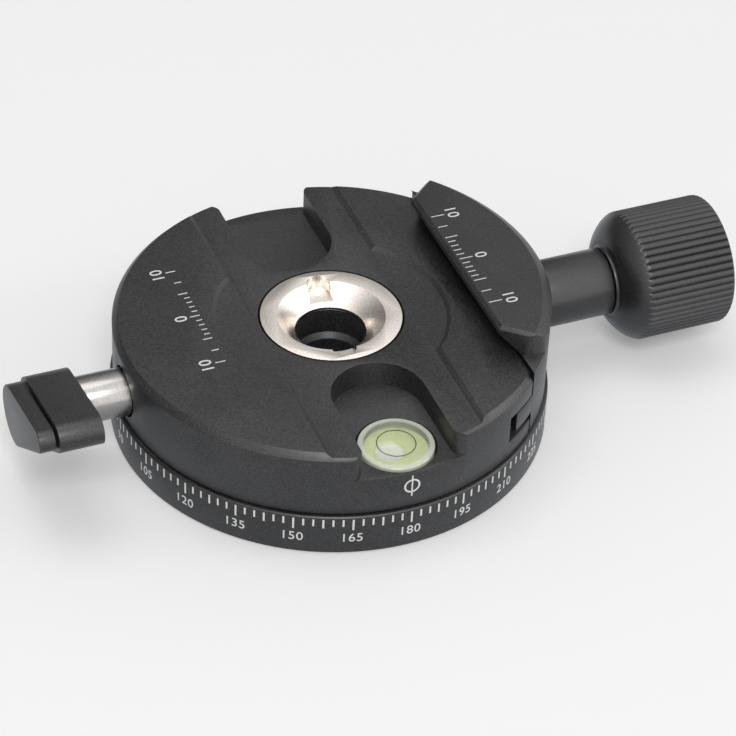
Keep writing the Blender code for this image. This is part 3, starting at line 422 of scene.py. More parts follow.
# %% Turn the base ring
RIM_BEVEL = 0.0004
FINE_BREAK = 0.0001
GROOVE_OUT_R = BASE_R - 0.004
GROOVE_IN_R = GROOVE_OUT_R - 0.006
GROOVE_Z = BASE_TOP - 0.0008
HUB_R = 0.0067
BORE_R = 0.00495
BORE_Z = HUB_TOP - 0.0035
THREAD_R = 0.0042
THREAD_TOP = BORE_Z - (BORE_R - THREAD_R)
MOUTH = 0.0006
SKIN = 0.00002
base = lathe(
    "base_ring_turned",
    [
        (BASE_R - SKIN * 2, BASE_TOP),
        (BASE_R - SKIN * 2, 0),
        (THREAD_R + MOUTH, 0),
        (THREAD_R, MOUTH),
        (THREAD_R, THREAD_TOP),
        (BORE_R, BORE_Z),
        (BORE_R, HUB_TOP),
        (HUB_R, HUB_TOP),
        (HUB_R, BASE_TOP),
        (GROOVE_IN_R, BASE_TOP),
        (GROOVE_IN_R, GROOVE_Z),
        (GROOVE_OUT_R, GROOVE_Z),
        (GROOVE_OUT_R, BASE_TOP),
    ],
    FINE,
)
soften(base, RIM_BEVEL, 3, lambda edge: min(v.co.xy.length for v in edge.verts) > GROOVE_OUT_R + RIM_BEVEL)
soften(base, FINE_BREAK, 2, lambda edge: max(v.co.xy.length for v in edge.verts) < GROOVE_IN_R)
dress(base, "base", anodised, ["base_ring"])

# %% [markdown]
# ## The engraved scales
# The marks are laser-engraved and filled with white. Each is a flat solid only a few
# hundredths of a millimetre proud, so that it stays crisp at any distance. Round the
# wall it is first laid out flat and then bent onto the cylinder.

# %% Mark helpers
MARK_T = 0.00003
LINE_W = 0.00026
FINE_LINE_W = 0.00021
BEND_STEP = 0.0004


def flat_marks():
    """A mesh to gather marks in, laid out on the plane: x across, y up, z outwards."""
    return bmesh.new()


def add_line(bm, low, high):
    """A straight mark between two corners."""
    middle = ((low[0] + high[0]) / 2, (low[1] + high[1]) / 2, 0)
    size = (high[0] - low[0], high[1] - low[1], MARK_T)
    bmesh.ops.create_cube(bm, size=1, matrix=Matrix.Translation(middle) @ Matrix.Diagonal((*size, 1)))


def add_ring(bm, centre, radius, width):
    """A round mark: two circles bridged, then given their thickness."""
    loops = []
    for size in (radius - width / 2, radius + width / 2):
        made = bmesh.ops.create_circle(
            bm, segments=SMALL, radius=size, matrix=Matrix.Translation((*centre, -MARK_T / 2))
        )
        loops += list({edge for vertex in made["verts"] for edge in vertex.link_edges})
    faces = bmesh.ops.bridge_loops(bm, edges=loops)["faces"]
    grown = bmesh.ops.extrude_face_region(bm, geom=faces)["geom"]
    top = [part for part in grown if isinstance(part, bmesh.types.BMVert)]
    bmesh.ops.translate(bm, verts=top, vec=(0, 0, MARK_T))


def add_number(bm, words, centre, height):
    """A number as a mesh, scaled to its height and centred."""
    curve = bpy.data.curves.new("number", "FONT")
    curve.body = words
    curve.extrude = MARK_T / 2
    curve.resolution_u = 4
    curve.space_character = 1.06
    curve.offset = 0.004
    thing = bpy.data.objects.new("number", curve)
    bpy.context.scene.collection.objects.link(thing)
    graph = bpy.context.evaluated_depsgraph_get()
    mesh = bpy.data.meshes.new_from_object(thing.evaluated_get(graph))
    bpy.data.objects.remove(thing)
    across = [v.co.x for v in mesh.vertices]
    up = [v.co.y for v in mesh.vertices]
    scale = height / (max(up) - min(up))
    middle = Matrix.Translation((-(max(across) + min(across)) / 2, -(max(up) + min(up)) / 2, 0))
    mesh.transform(Matrix.Translation((*centre, 0)) @ Matrix.Diagonal((scale, scale, 1, 1)) @ middle)
    bm.from_mesh(mesh)


def wrap(bm, radius, angle):
    """Slices the flat marks finely and bends them round Z, centred on an angle."""
    bmesh.ops.triangulate(bm, faces=bm.faces)
    reach = max(abs(v.co.x) for v in bm.verts)
    for index in range(-int(reach / BEND_STEP), int(reach / BEND_STEP) + 1):
        everything = list(bm.verts) + list(bm.edges) + list(bm.faces)
        bmesh.ops.bisect_plane(bm, geom=everything, plane_co=(index * BEND_STEP, 0, 0), plane_no=(1, 0, 0))
    for vertex in bm.verts:
        turn = angle + vertex.co.x / radius
        out = radius + vertex.co.z
        vertex.co = (out * math.cos(turn), out * math.sin(turn), vertex.co.y)


def finished_marks(bm, name, body):
    bmesh.ops.remove_doubles(bm, verts=bm.verts, dist=WELD)
    bmesh.ops.recalc_face_normals(bm, faces=bm.faces)
    marks = object_from(bm, name)
    dress(marks, body, paint)


print("helpers for marks are ready")

# %% [markdown]
# ## Degree scale
# The scale has a mark every 2.5 degrees and a number every 15. The whole strip could be
# laid out once and bent, but a mark at a time is simpler: each is drawn flat, bent onto
# the wall at its own angle, and added to one mesh.

# %% Degree scale on the base ring
SCALE_TOP = BASE_TOP - RIM_BEVEL
LONG_TICK, MIDDLE_TICK, SHORT_TICK = 0.0018, 0.00145, 0.00115
NUMBER_H = 0.0014
NUMBER_Z = SCALE_TOP - LONG_TICK - 0.0013
TICKS = 144
TICKS_PER_NUMBER = 6
scale_r = BASE_R - SKIN * 2 - MARK_T / 2 + SKIN
scale = bmesh.new()
for tick in range(TICKS):
    marks = flat_marks()
    step = tick % TICKS_PER_NUMBER
    length = {0: LONG_TICK, TICKS_PER_NUMBER // 2: MIDDLE_TICK}.get(step, SHORT_TICK)
    add_line(marks, (-LINE_W / 2, SCALE_TOP - length), (LINE_W / 2, SCALE_TOP))
    if step == 0:
        add_number(marks, str(tick * 360 // TICKS), (0, NUMBER_Z), NUMBER_H)
    wrap(marks, scale_r, math.pi / 2 + tick * math.tau / TICKS)
    one_mark = bpy.data.meshes.new("mark")
    marks.to_mesh(one_mark)
    marks.free()
    scale.from_mesh(one_mark)
finished_marks(scale, "degree_scale", "base")

# %% [markdown]
# ## Clamp body
# The body starts as a turned blank. Everything above the plate seat is then milled away,
# apart from the fixed jaw, and the channel and the two pockets follow. The order
# matters: the lock's holes are drilled first, while the blank is whole.

# %% Body sizes
FLANGE_Z = BODY_FOOT + 0.0015
JAW_RISE = 0.0044
SEAT_Z = JAW_TOP - JAW_RISE
RIM_W, RIM_H = 0.0008, 0.0009
STRIP_HALF = 0.01035
FLARE = 0.0007
LAND_R = 0.0156
LIP_X = -0.01835
UNDERCUT = 0.00315
CORNER = math.radians(41)
FIXED_FLAT = 0.0143
POCKET_R = 0.00635
POCKET_Y = BODY_R - 0.0121
POCKET_Z = SEAT_Z - 0.0042
LEVEL_FLOOR = vial_low.z - SEAT_GAP
MOUTH_R = 0.0014
CORNER_R = 0.0022
FAR = BODY_R + OVERRUN
SKY = JAW_TOP + OVERRUN
EDGE_BREAK = 0.00018
JAW_FACE = JAW_TOP - SKIN
print(f"seat {SEAT_Z:.4f} m up, channel {CHANNEL_Z:.4f} m up")

# %% [markdown]
# ## Milling cutters
# A milling machine takes away what a cutter sweeps, and here each sweep is a solid of its
# own. The jaw could be added to a plain disc instead, but cutting the room around it keeps
# its outside wall and the body's the very same surface. The mouths and the jaws' corners
# are rounded in the cutters' outlines, because a bevel this wide would cut into its
# neighbours.

# %% Cutters for the body


def corner_cutter(lip_x, side, flat_half, bevel, low):
    """A slanted block that takes a jaw's corner off."""
    out_x = -math.copysign(math.sin(CORNER), lip_x)
    turn = math.atan2(side * math.cos(CORNER), out_x)
    top = JAW_TOP + OVERRUN * 2
    outline = [(0, low), (0, JAW_TOP - bevel), (-bevel - OVERRUN * 2, top), (FAR, top), (FAR, low)]
    corner = Matrix.Translation((lip_x, side * flat_half, 0)) @ Matrix.Rotation(turn, 4, "Z")
    return prism("corner", outline, -FAR, FAR, corner @ SIDE_VIEW)


def fixed_jaw_room():
    """The space that the fixed jaw keeps when the top is milled away."""
    deep = OVERRUN * 2
    top = SKY + OVERRUN
    outline = [
        (-FAR * 2, SEAT_Z - deep), (LIP_X - UNDERCUT - deep, SEAT_Z - deep),
        (LIP_X, SEAT_Z + UNDERCUT), (LIP_X, top), (-FAR * 2, top),
    ]
    room = prism("fixed_jaw_room", outline, -FAR - OVERRUN, FAR + OVERRUN, SIDE_VIEW)
    for side in (-1, 1):
        carve(room, [corner_cutter(LIP_X, side, FIXED_FLAT, 0, 0)])
        carve(room, [rim_round(LIP_X, side, FIXED_FLAT, 0)])
    return room


def milled_top():
    """Everything above the plate seat and the turned land, but for the fixed jaw."""
    skirt = RIM_H * (RIM_W + OVERRUN) / RIM_W
    ring = [
        (FAR, SKY), (FAR, SEAT_Z - skirt), (BODY_R - RIM_W, SEAT_Z), (LAND_R + SEAT_Z - CHANNEL_Z, SEAT_Z),
        (LAND_R, CHANNEL_Z), (HUB_R, CHANNEL_Z), (HUB_R, SKY),
    ]
    cutter = lathe("milled_top", ring, FINE)
    carve(cutter, [fixed_jaw_room()])
    return cutter


def strip_cutter():
    """The shallow channel, cut a hair deeper than the turned land that it meets."""
    top = SEAT_Z + OVERRUN
    floor = CHANNEL_Z - SKIN
    spread = FLARE * (top - CHANNEL_Z) / (SEAT_Z - CHANNEL_Z)
    outline = [(-STRIP_HALF, floor), (STRIP_HALF, floor), (STRIP_HALF + spread, top), (-STRIP_HALF - spread, top)]
    return prism("strip", outline, -FAR, FAR, SIDE_VIEW)


def pocket_cutter(side):
    """A round-ended pocket whose mouth rounds over into the rim on both sides."""
    across = POCKET_R + MOUTH_R
    down = math.sqrt((BODY_R - MOUTH_R) ** 2 - across**2)
    half = arc((0, -POCKET_Y), POCKET_R, math.pi / 2, math.pi, SMALL // 2)
    half += arc((-across, -down), MOUTH_R, 0, math.atan2(-down, -across), SMALL // 2)
    half.append((half[-1][0] * FAR / BODY_R, half[-1][1] * FAR / BODY_R))
    outline = half + [(-x, y) for x, y in reversed(half[1:])]
    return prism("pocket", [(x, -side * y) for x, y in outline], POCKET_Z, SKY)


def rim_round(lip_x, side, flat_half, low):
    """A plug with a hollow side that rounds a jaw's slanted corner into the rim."""
    out = Vector((-math.copysign(math.sin(CORNER), lip_x), side * math.cos(CORNER)))
    along = Vector((math.copysign(math.cos(CORNER), lip_x), side * math.sin(CORNER)))
    start = Vector((lip_x, side * flat_half)) - out * CORNER_R
    reach = start.dot(along)
    inner_r = BODY_R - CORNER_R
    centre = start + along * (math.sqrt(reach**2 - start.length_squared + inner_r**2) - reach)
    first, last = math.atan2(out.y, out.x), math.atan2(centre.y, centre.x)
    last = first + math.remainder(last - first, math.tau)
    outline = arc(centre, CORNER_R, first, last, SMALL // 2)
    clear = start + out * CORNER_R * 1.5
    beyond = [Vector(outline[-1]) * FAR / BODY_R, clear + along * CORNER_R * 3, clear]
    return prism("rim_round", outline + [tuple(point) for point in beyond], low, SKY + OVERRUN * 2)


print("milling cutters are ready")

# %% [markdown]
# ## Holes and slots in the sides
# From the knob's side come the saw cut that frees the moving jaw, the groove for its
# tongue, and the holes for the screw's bush, the pins and their springs. From the other
# side comes the stepped hole of the lock. Their sizes are read from the solids that sit in
# them, plus a small gap, so that nothing binds when the jaw moves.

# %% Drilled and sawn cutters
GROOVE_X = SPLIT_X - 0.0045
TONGUE_TOP = BODY_FOOT + 0.0067 - SEAT_GAP
TONGUE_LOW = TONGUE_TOP - 0.0029
SLOT_LOW = BODY_FOOT + 0.0025
PIN_Y = 0.0130
bush_r = (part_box("screw_bush")[1].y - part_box("screw_bush")[0].y) / 2 + SEAT_GAP
bush_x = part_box("screw_bush")[0].x - SEAT_GAP
pin_low, pin_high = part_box("jaw_pin_front")
pin_r = (pin_high.z - pin_low.z) / 2 + SEAT_GAP
spring_low, spring_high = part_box("jaw_spring_front")
spring_r = (spring_high.z - spring_low.z) / 2 + SEAT_GAP
SHAFT_R = (shaft_high.z - shaft_low.z) / 2
LOCK_HOLE = -BODY_R + 0.0124


def knob_side_cutters():
    beyond = SPLIT_X + OVERRUN
    cutters = [
        block("split", (SPLIT_X, -FAR, BODY_FOOT - OVERRUN), (FAR, FAR, SKY)),
        block("groove", (GROOVE_X, -FAR, SLOT_LOW), (beyond, FAR, TONGUE_TOP + SEAT_GAP)),
        rod("bush_hole", bush_r, bush_x, beyond, ROUND, KNOB_AXIS),
    ]
    for side in (-1, 1):
        axis = Matrix.Translation((0, side * PIN_Y, 0)) @ KNOB_AXIS
        cutters.append(rod("spring_pocket", spring_r, spring_low.x - SEAT_GAP, beyond, SMALL, axis))
        cutters.append(rod("pin_bore", pin_r, pin_low.x - SEAT_GAP, spring_low.x + OVERRUN, SMALL, axis))
    return cutters


def lock_cutters():
    pad_low, pad_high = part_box("brake_pad")
    pad_r = (pad_high.z - pad_low.z) / 2 + SEAT_GAP
    shaft = rod("shaft_hole", SHAFT_R + SEAT_GAP, -LOCK_HOLE, FAR, ROUND, LOCK_AXIS)
    pad = rod("pad_hole", pad_r, NUT_R - OVERRUN, -LOCK_HOLE + OVERRUN, SMALL, LOCK_AXIS)
    return [shaft, pad]


print("drilled and sawn cutters are ready")

# %% [markdown]
# ## Cut the body
# The blank is turned, and then every cutter is taken out of it by itself. All of them in
# one Boolean would be quicker, but faces that nearly coincide then leave stray slivers.
# The channel's floor is cut a hair low for the same reason, and lifted level with the
# turned land after each cut. At the end all sharp edges are broken at once.

# %% Cut and soften the body
body = lathe(
    "clamp_body_milled",
    [
        (BODY_R - RIM_W, JAW_FACE), (BODY_R, JAW_FACE - RIM_H), (BODY_R, BODY_FOOT),
        (HUB_R + SEAT_GAP, BODY_FOOT), (HUB_R + SEAT_GAP, FLANGE_Z),
        (NUT_R + SEAT_GAP, FLANGE_Z), (NUT_R + SEAT_GAP, JAW_FACE),
    ],
    FINE,
)
level_r = (vial_high.x - vial_low.x) / 2
level_hole = rod("level_hole", level_r + SEAT_GAP, LEVEL_FLOOR, POCKET_Z + OVERRUN, ROUND, LEVEL_AXIS)
for cutter in lock_cutters() + [milled_top(), strip_cutter(), pocket_cutter(-1), pocket_cutter(1), level_hole]:
    carve(body, [cutter])
    for vertex in body.data.vertices:
        if abs(vertex.co.z - CHANNEL_Z) < SKIN * 2:
            vertex.co.z = CHANNEL_Z
for cutter in knob_side_cutters():
    carve(body, [cutter])
soften(body, EDGE_BREAK, 2)
dress(body, "clamp", anodised, ["clamp_body"])
print("body corners:", len(body.data.vertices))

# %% [markdown]
# ## Pan index
# A circle with a line through it, engraved low on the front wall, is read against the
# degree scale. It is drawn flat with the same helpers as the scale and bent onto the wall.

# %% Pan index on the body
INDEX_Z = BODY_FOOT + 0.0034
INDEX_R = 0.0010
INDEX_HALF = 0.00175
index = flat_marks()
add_ring(index, (0, INDEX_Z), INDEX_R, LINE_W)
add_line(index, (-FINE_LINE_W / 2, INDEX_Z - INDEX_HALF), (FINE_LINE_W / 2, INDEX_Z + INDEX_HALF))
wrap(index, BODY_R, -math.pi / 2)
finished_marks(index, "pan_index", "clamp")

# %% [markdown]
# ## Moving jaw
# This jaw is a segment of the same disc. Its lip leans over the plate as the fixed one
# does, a tongue at its foot runs in the body's groove, and its top edge has a wider
# bevel that shines in the light.

# %% Cut the moving jaw
JAW_X = SPLIT_X + SEAT_GAP
MOVING_LIP_X = JAW_X - 0.00275
TOP_BEVEL = 0.0005
LIP_Z = JAW_TOP - TOP_BEVEL - 0.0007
MOVING_FLAT = 0.0152
LEDGE_Z = SEAT_Z + 0.0006
JAW_RIM_W, JAW_RIM_H = 0.0013, 0.0010
washer_low, washer_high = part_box("knob_washer")
clip_low, clip_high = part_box("screw_clip")
washer_r = (washer_high.y - washer_low.y) / 2 + SEAT_GAP
clip_r = (clip_high.y - clip_low.y) / 2 + SEAT_GAP
screw_r = (screw_high.y - screw_low.y) / 2 + SEAT_GAP
jaw = lathe(
    "moving_jaw_milled",
    [
        (0, JAW_FACE), (BODY_R - JAW_RIM_W, JAW_FACE), (BODY_R, JAW_FACE - JAW_RIM_H),
        (BODY_R, jaw_low.z), (0, jaw_low.z),
    ],
    FINE,
)
foot = jaw_low.z - OVERRUN
flank = [
    (-FAR, foot), (JAW_X, foot), (JAW_X, TONGUE_LOW), (jaw_low.x, TONGUE_LOW), (jaw_low.x, TONGUE_TOP),
    (JAW_X, TONGUE_TOP), (JAW_X, LIP_Z - (JAW_X - MOVING_LIP_X)), (MOVING_LIP_X, LIP_Z),
    (MOVING_LIP_X, JAW_TOP - TOP_BEVEL), (MOVING_LIP_X + TOP_BEVEL + OVERRUN, SKY), (-FAR, SKY),
]
cutters = [prism("flank", flank, -FAR, FAR, SIDE_VIEW)]
for side in (-1, 1):
    axis = Matrix.Translation((0, side * PIN_Y, 0)) @ KNOB_AXIS
    cutters.append(corner_cutter(MOVING_LIP_X, side, MOVING_FLAT, TOP_BEVEL, LEDGE_Z))
    cutters.append(rim_round(MOVING_LIP_X, side, MOVING_FLAT, LEDGE_Z))
    cutters.append(rod("pin_seat", pin_r, jaw_low.x - OVERRUN, pin_high.x + SEAT_GAP, SMALL, axis))
cutters.append(rod("screw_bore", screw_r, clip_high.x, washer_low.x, ROUND, KNOB_AXIS))
cutters.append(rod("clip_seat", clip_r, jaw_low.x - OVERRUN, clip_high.x + SEAT_GAP, ROUND, KNOB_AXIS))
cutters.append(rod("spot_face", washer_r, washer_low.x - SEAT_GAP, FAR, ROUND, KNOB_AXIS))
for cutter in cutters:
    carve(jaw, [cutter])
soften(jaw, EDGE_BREAK, 2)
dress(jaw, "jaw", anodised, ["moving_jaw"])

# %% [markdown]
# ## Jaw scales
# Both jaws carry a ruler that reads 10-0-10 in millimetres, so that a camera plate can
# be set back to the same place. The numbers stand with their feet towards the plate.

# %% Lay the rulers on the jaws
MM = 0.001
RULER_STEPS = (0, 1, 2, 3, 4, 5, 7.5, 10)
RULER_LENGTHS = {0: 0.0019, 5: 0.0018, 7.5: 0.0014, 10: 0.0019}
RULER_SHORT = 0.0011
FIXED_SHARE = 0.72
RULER_INSET = 0.0004
RULER_LINE_W = 0.00015
FIGURE_H = 0.0017
FIGURE_GAP = 0.0004


def ruler(name, body, edge_x, facing, start, share):
    """A ruler laid out flat, turned so that its figures read from the plate."""
    marks = flat_marks()
    for distance in RULER_STEPS:
        length = RULER_LENGTHS.get(distance, RULER_SHORT) * share
        for side in ((0,) if distance == 0 else (-1, 1)):
            middle = side * distance * MM
            add_line(marks, (middle - RULER_LINE_W / 2, start), (middle + RULER_LINE_W / 2, start + length))
            if distance in (0, 10):
                centre = (middle, start + length + FIGURE_GAP + FIGURE_H / 2)
                add_number(marks, str(distance), centre, FIGURE_H)
    turn = Matrix.Rotation(facing, 4, "Z")
    lie = Matrix.Translation((edge_x, 0, JAW_FACE)) @ turn
    bmesh.ops.transform(marks, matrix=lie, verts=marks.verts)
    bmesh.ops.triangulate(marks, faces=marks.faces)
    finished_marks(marks, name, body)


ruler("fixed_jaw_ruler", "clamp", LIP_X, math.pi / 2, RULER_INSET, FIXED_SHARE)
ruler("moving_jaw_ruler", "jaw", MOVING_LIP_X + TOP_BEVEL, -math.pi / 2, RULER_INSET - TOP_BEVEL / 4, 1)

# %% [markdown]
# ## Ring nut
# A bright steel nut holds the clamp on its hub. It is turned with a deep cone that
# leads the eye and the key to the bore, and two notches take a pin spanner.

# %% Turn the ring nut
CONE_R = 0.00735
EYE_R = 0.00485
NOTCH_HALF = 0.00165
NOTCH_R = 0.0071
NOTCH_Z = CHANNEL_Z - 0.0020
NOTCH_ANGLE = math.radians(83)
nut = lathe(
    "ring_nut_turned",
    [
        (NUT_R, CHANNEL_Z), (NUT_R, nut_low.z), (HUB_R + SEAT_GAP, nut_low.z), (HUB_R + SEAT_GAP, HUB_TOP + SEAT_GAP),
        (EYE_R, HUB_TOP + SEAT_GAP), (EYE_R, CHANNEL_Z - (CONE_R - EYE_R)), (CONE_R, CHANNEL_Z),
    ],
    FINE,
)
outline = arc((NOTCH_R, 0), NOTCH_HALF, -math.pi / 2, math.pi / 2, SMALL // 2)
outline += [(0, NOTCH_HALF), (0, -NOTCH_HALF)]
for side in (0, math.pi):
    carve(nut, [prism("notch", outline, NOTCH_Z, SKY, Matrix.Rotation(NOTCH_ANGLE + side, 4, "Z"))])
soften(nut, FINE_BREAK, 2)
dress(nut, "base", nut_steel, ["retaining_ring"])

# %% [markdown]
# ## Bubble level
# A clear acrylic vial with yellow-green liquid sits in the front pocket. Clear plastic
# is made with Alpha here, not with refraction: light and the camera both pass through
# it, and it survives the export. The bubble is a dent in the top of the liquid.

# %% Level materials
BUBBLE_R = 0.0021
BUBBLE_DEPTH = 0.0006
BUBBLE_X = -0.0009
CIRCLE_R = 0.00257
CIRCLE_W = 0.00013
RIM_IN, RIM_OUT = 0.0010, 0.0006
ACRYLIC_GREEN = (0.80, 0.86, 0.70, 1)
ACRYLIC_PALE = (0.88, 0.91, 0.82, 1)
LIQUID_DEEP = (0.74, 0.84, 0.34, 1)
LIQUID_PALE = (0.86, 0.91, 0.52, 1)
# Colour of the painted glare on the air bubble.
BUBBLE_GLARE_WHITE = (0.97, 0.98, 0.93, 1)

acrylic, tree, shader = new_material("clear_acrylic", roughness=0.06, ior=1.49)
where = node(tree, "TexCoord").outputs["Object"]
centred = node(tree, "Mapping", {"Vector": where, "Location": (0, LEVEL_Y, 0)}, vector_type="TEXTURE")
flattened = node(tree, "VectorMath", {0: centred.outputs["Vector"], 1: (1, 1, 0)}, operation="MULTIPLY")
radius = node(tree, "VectorMath", {0: flattened.outputs["Vector"]}, operation="LENGTH").outputs["Value"]
scratch = node(tree, "TexNoise", {"Vector": where, "Scale": 900.0, "Detail": 4.0}).outputs["Fac"]
cloudy = node(tree, "MapRange", {"Value": scratch, "From Min": 0.3, "From Max": 0.7, "To Min": 0.10, "To Max": 0.16})
# Painted glare: the vial gets more opaque towards its wall, so that its pale colour shows there as a painted highlight
# of the thick clear wall.
rim_glare_mask = node(
    tree, "MapRange",
    {"Value": radius, "From Min": level_r - RIM_IN, "From Max": level_r - RIM_OUT, "To Min": 0.0, "To Max": 0.62},
)
alpha = sums(tree, "ADD", cloudy.outputs["Result"], rim_glare_mask.outputs["Result"], True)
tree.links.new(alpha, shader.inputs["Alpha"])
warm = node(tree, "MixRGB", {"Fac": scratch, "Color1": ACRYLIC_GREEN, "Color2": ACRYLIC_PALE})
tree.links.new(warm.outputs["Color"], shader.inputs["Base Color"])

liquid, tree, shader = new_material("level_liquid", roughness=0.12, ior=1.36, coat_weight=0.6)
where = node(tree, "TexCoord").outputs["Object"]
swirl = node(tree, "TexNoise", {"Vector": where, "Scale": 350.0, "Detail": 2.0}).outputs["Fac"]
ramp = node(tree, "ValToRGB", {"Fac": swirl})
ramp.color_ramp.elements[0].color = LIQUID_DEEP
ramp.color_ramp.elements[1].color = LIQUID_PALE
placed = node(tree, "Mapping", {"Vector": where, "Location": (BUBBLE_X, LEVEL_Y, 0)}, vector_type="TEXTURE")
flattened = node(tree, "VectorMath", {0: placed.outputs["Vector"], 1: (1, 1, 0)}, operation="MULTIPLY")
radius = node(tree, "VectorMath", {0: flattened.outputs["Vector"]}, operation="LENGTH").outputs["Value"]
# Painted highlight: inside the bubble's circle the liquid's colour is mixed to near-white, a painted glare of the air
# bubble.
inside = node(
    tree, "MapRange",
    {"Value": radius, "From Min": BUBBLE_R * 0.75, "From Max": BUBBLE_R * 0.95, "To Min": 1.0, "To Max": 0.0},
)
painted_bubble_glare = node(
    tree, "MixRGB", {"Fac": inside.outputs["Result"], "Color1": ramp.outputs["Color"], "Color2": BUBBLE_GLARE_WHITE}
)
tree.links.new(painted_bubble_glare.outputs["Color"], shader.inputs["Base Color"])
print("level materials:", acrylic.name, liquid.name)

# %% [markdown]
# ## Vial, liquid, circle and plug
# The vial is a turned cup with a thick roof, and the liquid is a plain disc in it. The
# bubble could be a ball of its own, but a dent in the liquid's top gives the right bright
# rim. Over the bubble the liquid's colour is painted near-white, a painted highlight of the
# air bubble. A thin dark circle lies on the roof, and a white plug closes the vial from below.

# %% Level pieces
VIAL_WALL = 0.0007
VIAL_ROOF = 0.0008
vial = lathe(
    "level_vial_clear",
    [
        (0, vial_high.z), (level_r, vial_high.z), (level_r, vial_low.z), (level_r - VIAL_WALL, vial_low.z),
        (level_r - VIAL_WALL, vial_high.z - VIAL_ROOF), (0, vial_high.z - VIAL_ROOF),
    ],
    ROUND,
    LEVEL_AXIS,
)
soften(vial, 0.00025, 3)
dress(vial, "clamp", acrylic, ["level_vial"])

fluid_r = level_r - VIAL_WALL - SKIN
fluid = rod("level_fluid_bubble", fluid_r, fluid_low.z, fluid_high.z, ROUND, LEVEL_AXIS)
bm = bmesh.new()
lens = Matrix.Translation((BUBBLE_X, LEVEL_Y, fluid_high.z)) @ Matrix.Diagonal((BUBBLE_R, BUBBLE_R, BUBBLE_DEPTH, 1))
bmesh.ops.create_uvsphere(bm, u_segments=SMALL, v_segments=SMALL // 2, radius=1, matrix=lens)
carve(fluid, [object_from(bm, "bubble")])
soften(fluid, 0.00008, 2)
dress(fluid, "clamp", liquid, ["level_fluid"])

circle = flat_marks()
add_ring(circle, (0, 0), CIRCLE_R, CIRCLE_W)
bmesh.ops.transform(circle, matrix=Matrix.Translation((0, LEVEL_Y, vial_high.z)), verts=circle.verts)
bmesh.ops.recalc_face_normals(circle, faces=circle.faces)
circle = object_from(circle, "level_circle")
dress(circle, "clamp", anodised)

plug = rod("level_base_plug", level_r - VIAL_WALL - SEAT_GAP, plug_low.z, plug_high.z, ROUND, LEVEL_AXIS)
soften(plug, FINE_BREAK, 2)
dress(plug, "clamp", nylon, ["level_base"])

# %% [markdown]
# ## Sleeve and knob
# The knob is turned with a rounded shoulder and a fillet at its neck, then knurled with
# straight flutes. The knurl stops where the shoulder drops below its depth, which gives
# the scalloped edge, so the flutes are pressed in by limiting each point's radius.

# %% Sleeve
SLEEVE_R = (sleeve_high.y - sleeve_low.y) / 2
sleeve = lathe(
    "knob_sleeve_turned",
    [(SLEEVE_R, sleeve_high.x), (SLEEVE_R, sleeve_low.x), (screw_r, sleeve_low.x), (screw_r, sleeve_high.x)],
    ROUND,
    KNOB_AXIS,
)
soften(sleeve, 0.00015, 2)
dress(sleeve, "knob", anodised_knob, ["knob_sleeve"])

# %% [markdown]
# ## Knob
# The profile runs from the end's rounded edge along the drum, over the shoulder and into
# the neck's fillet. The flutes could be 54 cutters, but pressing each corner of the mesh
# inwards to a wavy limit is faster, and it fades the flutes out along the shoulder, as a
# knurling wheel does.

# %% Knob
KNOB_R = 0.00915
NECK_R = 0.0054
NECK_FILLET = 0.00045
SHOULDER_L = 0.0038
KNOB_EDGE = 0.0005
FLUTES = 54
FLUTE_POINTS = 8
FLUTE_DEPTH = 0.00032
RIDGE_SHARPNESS = 0.8
DRUM_X = knob_low.x + SHOULDER_L
RECESS_X = knob_high.x - 0.0040
WEB_X = RECESS_X - 0.0027
RECESS_R = 0.0032
END_SCREW_R = 0.0018
shoulder = []
SHOULDER_POINTS = 22
FULLNESS = 1.45
for index in range(SHOULDER_POINTS):
    angle = math.pi / 2 * index / (SHOULDER_POINTS - 1)
    along = DRUM_X - (SHOULDER_L - NECK_FILLET) * math.sin(angle) ** (2 / FULLNESS)
    shoulder.append((NECK_R + (KNOB_R - NECK_R) * math.cos(angle) ** (2 / FULLNESS), along))
neck = arc((SLEEVE_R + NECK_FILLET, knob_low.x), NECK_FILLET, math.pi / 2, math.pi, 6)
drum_end = knob_high.x - KNOB_EDGE
drum_rows = [(KNOB_R, drum_end + (DRUM_X - drum_end) * part / 6) for part in range(6)]
edge_rows = arc((KNOB_R - KNOB_EDGE, knob_high.x - KNOB_EDGE), KNOB_EDGE, math.pi / 2, 0, 6)[:-1]
knob = lathe(
    "clamp_knob_fluted",
    edge_rows + drum_rows + shoulder + neck
    + [(screw_r, knob_low.x), (screw_r, WEB_X), (END_SCREW_R, WEB_X), (END_SCREW_R, RECESS_X),
       (RECESS_R, RECESS_X), (RECESS_R, knob_high.x)],
    FLUTES * FLUTE_POINTS,
    KNOB_AXIS,
)
for vertex in knob.data.vertices:
    across, up = vertex.co.y, vertex.co.z - SCREW_Z
    reach = math.hypot(across, up)
    wave = abs(math.sin(FLUTES / 2 * math.atan2(up, across))) ** RIDGE_SHARPNESS
    limit = KNOB_R - FLUTE_DEPTH * (1 - wave)
    if reach > limit:
        vertex.co.y *= limit / reach
        vertex.co.z = SCREW_Z + up * limit / reach
dress(knob, "knob", anodised_knob, ["clamp_knob"])

# %% [markdown]
# ## Pan lock
# A steel shaft comes out of the body's other side. A teardrop lever sits on it, and a
# slimmer cap covers the screw in the lever's end. Both are milled from bar, so they are
# flat outlines with their edges broken.

